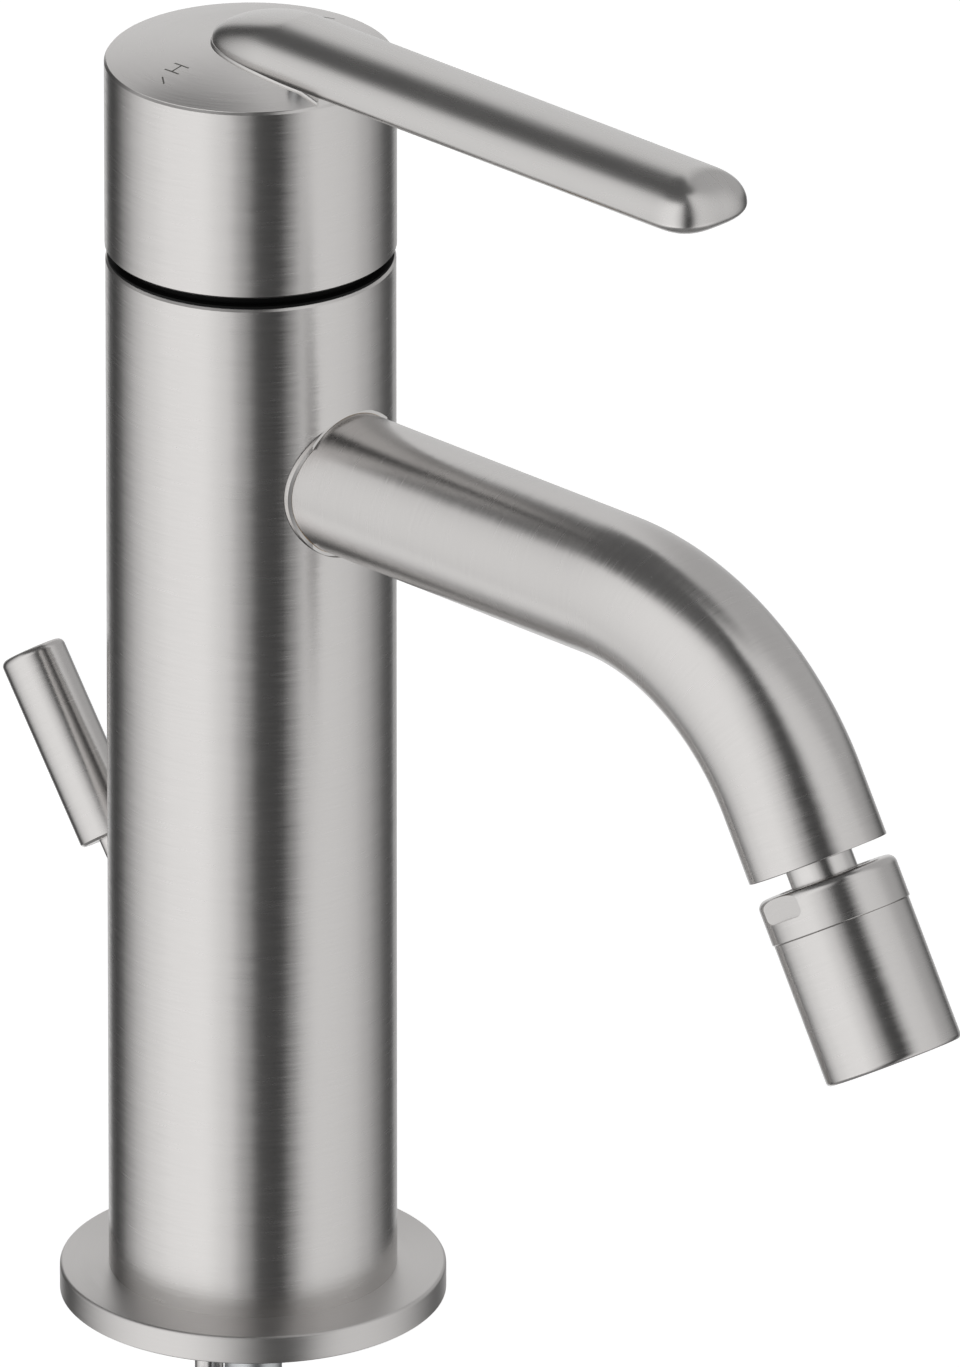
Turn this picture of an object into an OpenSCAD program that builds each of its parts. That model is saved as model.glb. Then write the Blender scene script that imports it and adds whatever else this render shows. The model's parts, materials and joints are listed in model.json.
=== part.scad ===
// Bidet mixer with a slim round body, a cap that turns and tilts, a bent tube spout with a
// ball-jointed aerator, a pull rod for the waste, and the stud that clamps it to the deck.
// The origin is the centre of the flange's underside. The spout points to -Y and +Z is up.

/* [Body] */
// Outer diameter of the body tube
body_d = 40; // [39:0.5:44]
// Height of the body tube above the flange
body_h = 151; // [140:1:180]
// Wall of the body tube
shell_wall = 2; // [1.6:0.1:2.4]
// Bevel at the top edge of the body tube
shell_bevel = 0.4; // [0.2:0.1:0.6]

/* [Base flange] */
// Outer diameter of the flange
flange_d = 53.6; // [50:0.5:60]
// Thickness of the flange
flange_h = 4; // [3:0.5:6]
// Hole through the flange for the hoses, the stud and the rod
flange_hole_d = 35; // [34.6:0.2:35.4]
// Radius of the flange's top edge
flange_round = 0.5; // [0.2:0.1:1]
// Inner radius of the gasket under the flange
gasket_in_r = 20; // [19:0.5:21]
// Width of the gasket under the flange
gasket_w = 4; // [2:0.5:4.5]
// Thickness of the gasket under the flange
gasket_h = 1.5; // [1:0.1:2]
// Thickness of the threaded insert inside the foot of the body
insert_h = 8; // [6:1:14]
// Length of the insert's spigot inside the flange
insert_spigot = 3; // [1:0.5:3]

/* [Lever cap] */
// Gap between the body and the cap
cap_gap = 1.6; // [1.4:0.1:2]
// Height of the cap's side
cap_h = 27.5; // [26:0.5:34]
// How far the cap's side stands out past the body
cap_proud = 0.1; // [0.1:0.1:0.6]
// Wall of the cap's side
cap_wall = 1.2; // [0.9:0.1:1.3]
// Thickness of the cap's top at its rim
cap_top = 1.8; // [1.4:0.1:2.4]
// Rise of the domed top above its rim
dome_rise = 2.8; // [2.2:0.1:3.2]
// Bevel at the cap's two edges
cap_bevel = 0.3; // [0.2:0.1:0.5]
// Diameter of the hub inside the cap
hub_d = 16; // [15:0.5:17]
// Depth of the hub below the cap's top
hub_h = 19.3; // [16:0.1:19.5]
// Diameter of the set screw
set_screw_d = 5; // [4:1:5]
// Length of the set screw
set_screw_h = 6; // [5:0.5:7]
// Diameter of the plug that covers the set screw
plug_d = 6; // [5.6:0.2:7]
// Height of the set screw above the cap's lower edge
set_screw_up = 13; // [11:0.5:15]

/* [Lever bar] */
// Distance from the body's axis to the tip of the bar
lever_reach = 91.3; // [70:1:120]
// Distance from the body's axis to the bar's rear end
lever_rear = 4.8; // [3:0.1:8]
// Width of the bar
lever_w = 15; // [13.5:0.5:16]
// Height of the bar
lever_h = 7.3; // [6.4:0.1:8]
// Height of the bar's widest line above its lower face
lever_belly = 2.5; // [1.6:0.1:3]
// Share of the width that is left at the lower face
lever_tuck = 0.73; // [0.65:0.01:0.85]
// Length over which the tip rolls down
tip_roll = 7; // [4:0.5:10]
// Sharpness of the ridges at the tip's corners
tip_power = 3; // [2:0.5:5]
// Length over which the rear end rolls down
rear_roll = 14; // [9:0.5:18]
// Sharpness of the ridges at the rear end's corners
rear_power = 2.4; // [2:0.1:4]
// How much faster the rear end shortens than it narrows towards the ridge
rear_slope = 1.6; // [1:0.1:2.4]
// How far the bar's lower face lies below the top of the dome
lever_sink = 1.5; // [1.2:0.1:1.8]
// How far the foot stays inside the edge of the lower face
foot_inset = 0.1; // [0.05:0.05:0.3]
// Distance from the body's axis to the two screws that hold the bar
bar_screw_y = 13.2; // [12.5:0.1:14]
// Distance between the two screws
bar_screw_gap = 6.6; // [6.2:0.1:7]
// Diameter of the two screws
bar_screw_d = 3; // [2.5:0.5:3]
// Depth of the two screws inside the bar
bar_screw_in = 4; // [3:0.5:4.5]

/* [Spout] */
// Distance from the body's top down to the spout's axis
spout_down = 28.4; // [28:0.2:29]
// Outer diameter of the spout tube
spout_d = 20; // [19:0.2:20.4]
// Wall of the spout tube
spout_wall = 1.2; // [1:0.1:1.6]
// Distance from the body's axis to the start of the bend
spout_straight = 70; // [50:1:110]
// Radius of the bend, at the tube's axis
bend_r = 40; // [28:1:60]
// Angle of the bend
bend_angle = 60; // [40:5:75]
// Straight length after the bend
spout_end = 10; // [10:1:20]
// Width of the collar around the spout's root
collar_w = 0.45; // [0.3:0.05:0.6]
// How far the collar's sides stand out past the body's surface
collar_proud = 0.6; // [0.3:0.1:0.9]
// How far the collar's flat face lies behind the front of the body
collar_back = 0.7; // [0.4:0.1:1]
// Distance from the body's axis to the end of the tube inside the body
spout_seat_y = 14.6; // [14.4:0.1:15]

/* [Ball joint and aerator] */
// Diameter of the neck
neck_d = 9.6; // [9:0.2:9.8]
// Length of the neck that shows
neck_gap = 2.6; // [2.5:0.1:5]
// Diameter of the ball
ball_d = 14; // [13.8:0.1:14.2]
// Depth of the ball's centre below the ring's top
ball_depth = 5.2; // [5.1:0.1:5.4]
// Bore for the water through the ball
water_d = 6; // [5:0.5:6.5]
// Length of the plug inside the spout's end
plug_h = 9; // [6:0.5:9.5]
// Diameter of the ring nut
ring_d = 20; // [20:0.2:21]
// Height of the ring nut
ring_h = 6.3; // [6.3:0.1:8]
// Radius of the ring nut's top edge
ring_round = 1.3; // [0.6:0.1:1.4]
// Distance between the ring nut's two spanner flats
ring_flats = 18.6; // [17.8:0.1:18.8]
// Height of the spanner flats
flat_h = 3.5; // [2:0.1:3.8]
// Diameter of the aerator's housing
aerator_d = 19.6; // [19.2:0.1:19.8]
// Height of the aerator's housing
aerator_h = 20.6; // [19:0.1:26]
// Radius of the housing's lower edge
aerator_round = 0.6; // [0.3:0.1:0.8]
// Bore of the aerator's housing
aerator_bore_d = 16; // [16:0.1:16.4]
// Lip that holds the insert
aerator_lip = 0.8; // [0.6:0.1:1.2]
// Height of the lip
aerator_lip_h = 0.9; // [0.6:0.1:1.4]
// Depth of the ball cup below the ball's centre
cup_h = 10; // [9.5:0.1:10.5]
// Thickness of the aerator's gasket
aerator_gasket_h = 1.8; // [1.2:0.1:2.4]

/* [Cartridge] */
// Distance from the body's top down to the lever's pivot
pivot_down = 15.4; // [15.4:0.1:16]
// Distance from the body's top down to the cartridge's floor
floor_down = 38; // [37.5:0.1:38.5]
// Distance from the body's top down to the retaining nut's seat
nut_down = 7; // [6.5:0.1:7]
// Diameter of the cartridge's lower housing
cart_d = 25; // [24.8:0.1:25.2]
// Diameter of the cartridge's upper housing
cart_head_d = 28.2; // [28:0.1:28.4]
// Bore of the cartridge's housing
cart_bore_d = 22.6; // [22.4:0.1:22.8]
// Diameter of the retaining nut
nut_d = 32; // [31.6:0.1:32.2]
// Height of the cartridge's base
cart_base_h = 6; // [5.5:0.1:6.3]
// Thickness of the fixed disc
fixed_disc_h = 3; // [2.5:0.1:3.1]
// Thickness of the moving disc
moving_disc_h = 3.5; // [3:0.1:3.6]
// Diameter of the moving disc
moving_disc_d = 16.8; // [16:0.1:17]
// Thickness of the carrier on the moving disc
carrier_h = 3.5; // [3.2:0.1:3.6]
// How far the moving disc lies behind the middle when the lever is down
disc_offset = 1.7; // [1.5:0.1:1.8]
// Diameter of the lever's stem
stem_d = 8; // [7.6:0.1:8]
// Diameter of the ball at the stem's lower end
stem_ball_d = 4; // [3.6:0.1:4]
// Diameter of the pivot pin
pin_d = 3; // [2.5:0.1:3.2]
// Distance from the axis to each feed port
port_x = 7.6; // [7.4:0.1:7.8]
// Diameter of the feed ports
port_d = 4.6; // [4:0.1:4.8]
// Largest tilt of the lever
lift_angle = 25; // [15:1:25]

/* [Inlets] */
// Distance from the axis to each hose inlet
inlet_x = 11.2; // [11:0.1:11.3]
// Distance of the inlets in front of the axis
inlet_y = 2; // [1.5:0.1:2.2]
// Core diameter of the inlet threads
inlet_d = 9; // [8.6:0.1:9.2]
// Depth of the inlet threads
inlet_h = 11; // [9:0.5:13]
// Height of the brass body below the cartridge's floor
waterway_foot = 27; // [24:1:34]
// Diameter of the hose passages through the insert
hose_way_d = 10; // [9.6:0.1:10]

/* [Pull rod] */
// Diameter of the rod
rod_d = 4; // [3.6:0.1:4]
// Tilt of the rod and its knob from the vertical
rod_tilt = 34.6; // [30:0.2:38]
// Height at which the rod's axis leaves the back of the body
rod_up = 48.8; // [44:0.2:60]
// Distance from the body to the knob along the rod
knob_off = 13.2; // [12:0.1:18]
// Diameter of the knob
knob_d = 9.3; // [8:0.1:12]
// Height of the knob
knob_h = 28.1; // [20:0.1:34]
// Radius of the knob's top edge
knob_round = 1; // [0.4:0.1:1.6]
// Depth of the rod inside the knob
knob_bore = 15; // [10:1:18]
// Travel of the rod
rod_travel = 11; // [8:1:11]
// Distance from the axis to the rod's upright leg
rod_leg_y = 8.7; // [8.6:0.1:8.8]
// Radius of the bend in the rod
rod_bend_r = 8; // [6:0.5:10]
// Length of the rod below the flange's underside
rod_below = 80; // [76:1:120]
// Length of the rod's thinner lower end
rod_tip_h = 20; // [10:1:24]
// Depth of the step where the thinner end starts
rod_tip_step = 0.2; // [0.1:0.05:0.4]
// Outer diameter of the rod's guide bush
bush_d = 8; // [7:0.2:9]
// Depth of the bush inside the body
bush_h = 7; // [5:0.5:8]

/* [Deck fixing] */
// Gap for the deck between the flange and the clamp
deck_gap = 25; // [15:1:40]
// Diameter of the stud
stud_d = 8; // [7.8:0.1:8]
// Length of the stud below the nut
stud_spare = 20; // [10:1:40]
// Diameter of the clamp plate
plate_d = 48; // [44:1:52]
// Thickness of the clamp plate
plate_h = 2.5; // [2:0.5:4]
// Thickness of the rubber pad on the clamp plate
pad_h = 2; // [1.5:0.5:4]
// Width of the nut across its flats
nut_flats = 11; // [10:0.1:11.2]
// Height of the nut
fixing_nut_h = 6.5; // [5:0.5:8]

/* [Clearances] */
// Clearance between pieces that stay together
fit = 0.05; // [0.03:0.01:0.08]
// Clearance between pieces that turn or slide on each other
run = 0.08; // [0.05:0.01:0.1]

/* [Hidden] */
$fn = 96;
over = 1;

body_r = body_d / 2;
bore_r = body_r - shell_wall;
body_top = flange_h + body_h;

cap_z = body_top + cap_gap;
cap_r = body_r + cap_proud;
cap_in_r = cap_r - cap_wall;
rim_z = cap_z + cap_h;
ceiling_z = rim_z - cap_top;
apex_z = rim_z + dome_rise;
dome_r = (cap_r * cap_r + dome_rise * dome_rise) / (2 * dome_rise);
hub_z = ceiling_z - hub_h;
set_screw_z = cap_z + set_screw_up;
stem_r = stem_d / 2;
stem_square = stem_d - 0.2;
stem_top = ceiling_z - 2;
screw_head_h = 2.4;
bar_z = apex_z - lever_sink;
bar_screw_top = bar_z + bar_screw_in;
screw_head_d = 5.4;

pivot_z = body_top - pivot_down;
floor_z = body_top - floor_down;
nut_z = body_top - nut_down;
ring_spigot = 1.5;
waterway_top = body_top - ring_spigot;
waterway_z = floor_z - waterway_foot;
head_z = pivot_z - 1;
fixed_disc_z = floor_z + cart_base_h;
moving_disc_z = fixed_disc_z + fixed_disc_h;
carrier_z = moving_disc_z + moving_disc_h;
carriage_z = carrier_z + carrier_h + 0.2;
housing_top_h = 2;
housing_ceiling = nut_z - housing_top_h;
carriage_top = housing_ceiling - 0.2;
chamber_r = cart_d / 2 + 0.9;
head_r = cart_head_d / 2;
cart_bore_r = cart_bore_d / 2;
stem_ball_z = carrier_z + stem_ball_d / 2 + 0.1;
stem_foot_z = carrier_z + carrier_h + 1.8;
sway = tan(lift_angle);
stem_reach = stem_r / cos(lift_angle);
glide_r = cap_in_r - 0.4;
glide_top = cap_z - 0.3;
glide_in_r = (glide_top - pivot_z) * sway + stem_reach + 0.9;
seal_r = 0.8;
seal_mid = port_d / 2 + seal_r + 0.1;
peg_r = 1.2;
peg_y = 9.6;

spout_z = body_top - spout_down;
spout_r = spout_d / 2;
spout_in_r = spout_r - spout_wall;
collar_r = spout_r + fit + collar_w;

ball_r = ball_d / 2;
ball_s = neck_gap + ball_depth;
seat_r = ball_r + run;
seat_up = 3.58;
ring_lead = 0.5;
ring_mouth_r = sqrt(seat_r * seat_r - seat_up * seat_up);
ring_foot = neck_gap + ring_h - ball_s;
thread_r = aerator_d / 2 - 0.8;
cup_r = aerator_bore_d / 2 - run;
cup_top = 0.5;
aerator_foot = ring_foot + aerator_h;
insert_top = cup_h + aerator_gasket_h;
insert_foot = aerator_foot - aerator_lip_h;
ball_seal_r = 0.85;
ball_seal_at = ball_r + ball_seal_r + run;
ball_seal_angle = 50;

rod_r = rod_d / 2;
rod_corner_z = rod_up - (body_r - rod_leg_y) / tan(rod_tilt);
rod_tangent = rod_bend_r * tan(rod_tilt / 2);
rod_slant = (body_r - rod_leg_y) / sin(rod_tilt) - rod_tangent;
rod_slot_w = rod_d + 1;
rod_slot_from = rod_leg_y - rod_r - 0.5;

stud_r = stud_d / 2;
pad_z = -deck_gap - pad_h;
plate_z = pad_z - plate_h;
fixing_nut_z = plate_z - fixing_nut_h;
stud_z = fixing_nut_z - stud_spare;
stud_top = flange_h + insert_h;

steel = "#b9b7b3";
bright = "#c9c8c5";
brass = "#c8a45a";
black = "#151515";
rubber = "#1d1d1d";
plastic = "#e8e6e0";
ceramic = "#f4f3ee";

// Upright round bar between two heights
module bar(r, low, high) {
    translate([0, 0, low]) cylinder(r = r, h = high - low);
}

// Upright ring between two heights
module ring(r_out, r_in, low, high) {
    difference() {
        bar(r_out, low, high);
        bar(r_in, low - over, high + over);
    }
}

// Ring of round section
module o_ring(mid_r, wire_r) {
    rotate_extrude() translate([mid_r, 0]) circle(r = wire_r, $fn = 32);
}

// Points of a quarter round from the side of a turned profile up to its top
function round_corner(r, z, round) = [for (a = [0 : 15 : 90])
    [r - round + round * cos(a), z - round + round * sin(a)]];

// Frame of the spout's outlet: its origin is the centre of the tube's end, water flows to -Z
module at_outlet() {
    at_bend() rotate([bend_angle, 0, 0]) translate([0, -spout_end, bend_r]) rotate([-90, 0, 0]) children();
}

// Frame of the spout's bend: its origin is the centre of the bend
module at_bend() {
    translate([0, -spout_straight, spout_z - bend_r]) children();
}

// Frame of the ball: its origin is the ball's centre, water flows to -Z
module at_ball() {
    at_outlet() translate([0, 0, -ball_s]) children();
}

// Frame of the pull rod: its origin is on the back of the body, the knob lies to +Z
module at_rod() {
    translate([0, body_r, rod_up]) rotate([-rod_tilt, 0, 0]) children();
}

// Frame of the spout's root: the tube runs to +Z
module at_spout() {
    translate([0, 0, spout_z]) rotate([90, 0, 0]) children();
}

// Turns a shape drawn in the XY plane into the plane x = 0, with X along +Y and Y along +Z
module in_side_plane() {
    rotate([90, 0, 90]) children();
}

// The two feed ports, as a pair of places
module at_ports() {
    for (side = [-1, 1]) translate([side * port_x, -inlet_y, 0]) children();
}

// The two hose inlets, as a pair of places
module at_inlets() {
    for (side = [-1, 1]) translate([side * inlet_x, -inlet_y, 0]) children();
}

module base_flange() {
    color(steel) difference() {
        rotate_extrude() polygon(concat(
            [[flange_hole_d / 2, 0], [flange_d / 2, 0]],
            round_corner(flange_d / 2, flange_h, flange_round),
            [[flange_hole_d / 2, flange_h]]));
        ring(gasket_in_r + gasket_w, gasket_in_r, -over, gasket_h);
    }
}

module base_gasket() {
    color(rubber) ring(gasket_in_r + gasket_w - fit, gasket_in_r + fit, 0, gasket_h);
}

// Slot that the rod's upright leg moves in
module rod_slot(low, high, back) {
    translate([-rod_slot_w / 2, rod_slot_from, low]) cube([rod_slot_w, back - rod_slot_from, high - low]);
}

module base_insert() {
    foot = flange_h - insert_spigot;
    color(brass) difference() {
        union() {
            bar(bore_r - fit, flange_h, stud_top);
            bar(flange_hole_d / 2 - fit, foot, flange_h + over);
        }
        bar(stud_r + fit, foot - over, stud_top + over);
        at_inlets() bar(hose_way_d / 2, foot - over, stud_top + over);
        rod_slot(foot - over, stud_top + over, body_r);
    }
}

module body_shell() {
    color(steel) difference() {
        rotate_extrude() polygon([
            [bore_r, flange_h], [body_r, flange_h], [body_r, body_top - shell_bevel],
            [body_r - shell_bevel, body_top], [bore_r, body_top]]);
        at_spout() bar(collar_r + fit, spout_seat_y - 4, body_r + over);
        at_rod() bar(bush_d / 2 + fit, -bush_h - 4, bush_h + 4);
    }
}

module waterway_body() {
    color(brass) difference() {
        bar(bore_r - fit, waterway_z, waterway_top);
        bar(nut_d / 2 + fit, nut_z, waterway_top + over);
        bar(head_r + fit, head_z - 0.2, nut_z + over);
        bar(chamber_r, floor_z, nut_z);
        at_ports() bar(port_d / 2, waterway_z + inlet_h - over, floor_z + over);
        at_inlets() bar(inlet_d / 2, waterway_z - over, waterway_z + inlet_h);
        at_spout() bar(spout_in_r - 0.8, 0, body_r);
        at_spout() bar(spout_r + fit, spout_seat_y, body_r);
        for (side = [-1, 1]) translate([0, side * peg_y, 0]) bar(peg_r + fit, floor_z - 2.2, floor_z + over);
    }
}

module spout_collar() {
    color(bright) intersection() {
        at_spout() ring(collar_r, spout_r + fit, 0, body_r - collar_back);
        ring(body_r + collar_proud, bore_r, spout_z - body_r, spout_z + body_r);
    }
}

module spout_tube() {
    color(steel) {
        at_spout() ring(spout_r, spout_in_r, spout_seat_y, spout_straight);
        at_bend() in_side_plane() rotate([0, 0, 90]) rotate_extrude(angle = bend_angle)
            translate([bend_r, 0]) difference() {
                circle(r = spout_r);
                circle(r = spout_in_r);
            }
        at_outlet() ring(spout_r, spout_in_r, 0, spout_end);
    }
}

module ball_stem() {
    color(bright) at_outlet() difference() {
        union() {
            bar(spout_in_r - fit, 0, plug_h);
            bar(neck_d / 2, -ball_s, over);
            translate([0, 0, -ball_s]) sphere(r = ball_r);
        }
        bar(water_d / 2, -ball_s - ball_r - over, plug_h + over);
    }
}

module cartridge_base() {
    color(plastic) difference() {
        union() {
            bar(cart_d / 2, floor_z, fixed_disc_z);
            for (side = [-1, 1]) translate([0, side * peg_y, 0]) bar(peg_r, floor_z - 2, floor_z + over);
        }
        at_ports() bar(port_d / 2, floor_z - over, fixed_disc_z + over);
        at_ports() ring(seal_mid + seal_r + fit, seal_mid - seal_r - fit, floor_z - over, floor_z + 2 * seal_r);
        translate([0, 5.4, 0]) bar(2.6, floor_z + 3, fixed_disc_z + over);
        translate([0, 5.4, floor_z + 4.2]) rotate([-90, 0, 0]) cylinder(r = 1.2, h = cart_d);
    }
}

module cartridge_seals() {
    color(rubber) at_ports() translate([0, 0, floor_z + seal_r]) o_ring(seal_mid, seal_r);
}

module cartridge_housing() {
    color(plastic) difference() {
        union() {
            bar(cart_d / 2, fixed_disc_z, head_z + over);
            bar(head_r, head_z, nut_z);
        }
        bar(cart_bore_r, fixed_disc_z - over, housing_ceiling);
        bar((nut_z - pivot_z) * sway + stem_reach + 0.9, housing_ceiling - over, nut_z + over);
        ring(head_r + over, head_r - 1.6, pivot_z + 2.4, pivot_z + 4.4);
    }
}

module housing_o_ring() {
    color(rubber) translate([0, 0, pivot_z + 3.4]) o_ring(head_r - 0.85, 0.75);
}

module fixed_ceramic_disc() {
    color(ceramic) difference() {
        bar(cart_bore_r - fit, fixed_disc_z, moving_disc_z);
        at_ports() bar(port_d / 2 - 0.2, fixed_disc_z - over, moving_disc_z + over);
        translate([0, 5.4, 0]) bar(2.4, fixed_disc_z - over, moving_disc_z + over);
    }
}

module retaining_nut() {
    low_r = (nut_z - pivot_z) * sway + stem_reach + 0.9;
    high_r = (waterway_top - pivot_z) * sway + stem_reach + 0.9;
    color(brass) difference() {
        bar(nut_d / 2, nut_z, waterway_top);
        translate([0, 0, nut_z]) cylinder(r1 = low_r, r2 = high_r, h = waterway_top - nut_z);
        for (turn = [0 : 60 : 300]) rotate([0, 0, turn])
            translate([nut_d / 2 - 2, -1.5, waterway_top - 2.5]) cube([2 + over, 3, 2.5 + over]);
    }
}

module glide_ring() {
    color(black) difference() {
        union() {
            bar(bore_r - fit, waterway_top, body_top + 0.5);
            bar(glide_r, body_top, glide_top);
        }
        bar(glide_in_r, waterway_top - over, glide_top + over);
    }
}

module rod_guide_bush() {
    color(bright) intersection() {
        at_rod() ring(bush_d / 2, rod_r + run, -bush_h, bush_h);
        bar(body_r, rod_up - 4 * bush_h, rod_up + 4 * bush_h);
    }
}

module fixing_stud() {
    color(bright) difference() {
        bar(stud_r, stud_z, stud_top);
        translate([-stud_r - over, -0.6, stud_z - over]) cube([stud_d + 2 * over, 1.2, 2 + over]);
    }
}

// Outline of the clamp plate and its pad: a disc with a hole for the stud, a notch for each
// hose and a slot for the rod
module clamp_blank(low, high) {
    difference() {
        bar(plate_d / 2, low, high);
        bar(stud_r + 0.25, low - over, high + over);
        for (side = [-1, 1]) {
            translate([side * inlet_x, -inlet_y, 0]) bar(hose_way_d / 2 + 0.3, low - over, high + over);
            translate([side * (inlet_x + plate_d / 2), -inlet_y, (low + high) / 2])
                cube([plate_d, hose_way_d + 0.6, high - low + 2 * over], center = true);
        }
        rod_slot(low - over, high + over, plate_d);
    }
}

module clamp_pad() {
    color(rubber) clamp_blank(pad_z, -deck_gap);
}

module clamp_plate() {
    color(bright) clamp_blank(plate_z, pad_z);
}

module fixing_nut() {
    color(brass) difference() {
        translate([0, 0, fixing_nut_z]) rotate([0, 0, 30])
            cylinder(r = nut_flats / 2 / cos(30), h = fixing_nut_h, $fn = 6);
        bar(stud_r + fit, fixing_nut_z - over, plate_z + over);
    }
}

// Groove and ring of the ball's seal, turned around the outlet's axis
module ball_seal_ring(wire_r) {
    translate([0, 0, -ball_seal_at * cos(ball_seal_angle)]) o_ring(ball_seal_at * sin(ball_seal_angle), wire_r);
}

module ball_cup() {
    color(plastic) at_ball() difference() {
        bar(cup_r, -cup_h, -cup_top);
        sphere(r = seat_r);
        bar(water_d / 2 + 1.2, -cup_h - over, 0);
        ball_seal_ring(ball_seal_r + fit);
    }
}

module ball_seal() {
    color(rubber) at_ball() ball_seal_ring(ball_seal_r);
}

module aerator_ring_nut() {
    color(steel) at_ball() difference() {
        rotate_extrude() polygon(concat(
            [[0, -ring_foot], [ring_d / 2, -ring_foot]],
            round_corner(ring_d / 2, ball_depth, ring_round),
            [[0, ball_depth]]));
        sphere(r = seat_r);
        bar(thread_r + fit, -ring_foot - over, -0.1);
        translate([0, 0, seat_up]) cylinder(r1 = ring_mouth_r, r2 = ring_mouth_r + ring_lead,
            h = ball_depth - seat_up + 0.1);
        for (side = [-1, 1]) translate([side * (ring_flats / 2 + ring_d / 2), 0, ball_depth - flat_h / 2 + over / 2])
            cube([ring_d, ring_d, flat_h + over], center = true);
    }
}

module aerator_housing() {
    wall_r = aerator_d / 2;
    color(steel) at_ball() difference() {
        union() {
            mirror([0, 0, 1]) rotate_extrude() polygon(concat(
                [[0, ring_foot], [wall_r, ring_foot]],
                round_corner(wall_r, aerator_foot, aerator_round),
                [[0, aerator_foot]]));
            bar(thread_r, -ring_foot - over, -0.2);
        }
        bar(aerator_bore_d / 2, -insert_foot, 0);
        bar(aerator_bore_d / 2 - aerator_lip, -aerator_foot - over, -insert_foot + over);
    }
}

module aerator_gasket() {
    color(rubber) at_ball() ring(aerator_bore_d / 2 - fit, 5.6, -insert_top, -cup_h);
}

module aerator_insert() {
    grid_r = aerator_bore_d / 2 - aerator_lip - 1.2;
    color(black) at_ball() difference() {
        bar(aerator_bore_d / 2 - fit, -insert_foot, -insert_top);
        bar(5.6, -insert_top - 4, -insert_top + over);
        bar(grid_r, -insert_foot - over, -insert_foot + 1.2);
        for (ring_no = [1 : 3], turn = [0 : 60 / ring_no : 359])
            rotate([0, 0, turn]) translate([ring_no * 1.7, 0, 0])
                bar(0.6, -insert_foot - over, -insert_top + over);
    }
}

module cartridge_carriage() {
    slot_front = (pivot_z - carriage_z) * sway + stem_reach + 0.3;
    slot_back = (carriage_top - pivot_z) * sway + stem_reach + 0.3;
    slot_w = stem_d + 2 * run;
    color(plastic) difference() {
        bar(cart_bore_r - run, carriage_z, carriage_top);
        translate([-slot_w / 2, -slot_front, carriage_z - over])
            cube([slot_w, slot_front + slot_back, carriage_top - carriage_z + 2 * over]);
        translate([-cart_bore_r - over, 0, pivot_z]) rotate([0, 90, 0])
            cylinder(d = pin_d + 2 * fit, h = 2 * cart_bore_r + 2 * over);
    }
}

module pivot_pin() {
    half = cart_bore_r - 0.6;
    color(bright) translate([-half, 0, pivot_z]) rotate([0, 90, 0]) cylinder(d = pin_d, h = 2 * half);
}

module moving_ceramic_disc() {
    color(ceramic) translate([0, disc_offset, 0]) difference() {
        bar(moving_disc_d / 2, moving_disc_z, carrier_z);
        translate([-4.2, -2.2, moving_disc_z - over]) cube([8.4, 5.2, 1.8 + over]);
    }
}

module disc_carrier() {
    color(plastic) difference() {
        translate([0, disc_offset, 0]) bar(moving_disc_d / 2, carrier_z, carrier_z + carrier_h);
        bar(stem_ball_d / 2 + run, carrier_z, carrier_z + carrier_h + over);
    }
}

module lever_stem() {
    neck_r = stem_ball_d / 2 - 0.6;
    color(bright) difference() {
        union() {
            translate([0, 0, stem_ball_z]) sphere(d = stem_ball_d);
            bar(neck_r, stem_ball_z, stem_foot_z + 0.5);
            bar(stem_r, stem_foot_z, hub_z - 2);
            translate([-stem_square / 2, -stem_square / 2, hub_z - 2.5])
                cube([stem_square, stem_square, stem_top - hub_z + 2.5]);
        }
        translate([-stem_d, 0, pivot_z]) rotate([0, 90, 0]) cylinder(d = pin_d + 2 * run, h = 2 * stem_d);
    }
}

// Solid shape of the cap with its domed top
module cap_blank() {
    intersection() {
        rotate_extrude() polygon([
            [0, cap_z], [cap_r - cap_bevel, cap_z], [cap_r, cap_z + cap_bevel],
            [cap_r, rim_z - cap_bevel], [cap_r - cap_bevel, rim_z], [cap_r - cap_bevel, apex_z], [0, apex_z]]);
        dome();
    }
}

// The two screws of the lever bar, as a pair of places
module at_bar_screws() {
    for (side = [-1, 1]) translate([side * bar_screw_gap / 2, -bar_screw_y, 0]) children();
}

module lever_cap() {
    socket = stem_square + 2 * fit;
    color(steel) difference() {
        cap_blank();
        difference() {
            bar(cap_in_r, cap_z - over, ceiling_z);
            bar(hub_d / 2, hub_z, ceiling_z + over);
        }
        translate([-socket / 2, -socket / 2, hub_z - over]) cube([socket, socket, stem_top + fit - hub_z + over]);
        translate([0, 0, set_screw_z]) rotate([-90, 0, 0]) cylinder(d = set_screw_d + 2 * fit, h = hub_d);
        translate([0, hub_d / 2 + over, set_screw_z]) rotate([-90, 0, 0]) cylinder(d = plug_d + 2 * fit, h = cap_r);
        at_bar_screws() bar(bar_screw_d / 2 + fit, ceiling_z - over, apex_z + over);
    }
}

// Distance from the middle of a rolled end to its outline, at an angle from the side
function end_radius(angle, roll, power) = pow(
    pow(abs(cos(angle)) / (lever_w / 2), power) + pow(abs(sin(angle)) / roll, power), -1 / power);

// Outline of the bar, drawn in towards its middle line by a share
function bar_outline(share) = concat(
    [for (a = [0 : 7.5 : 180])
        let (d = share * end_radius(a, rear_roll * pow(share, rear_slope - 1), rear_power))
        [d * cos(a), lever_rear - rear_roll + d * sin(a)]],
    [for (a = [180 : 7.5 : 360]) let (d = share * end_radius(a, tip_roll, tip_power))
        [d * cos(a), tip_roll - lever_reach + d * sin(a)]]);

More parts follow.
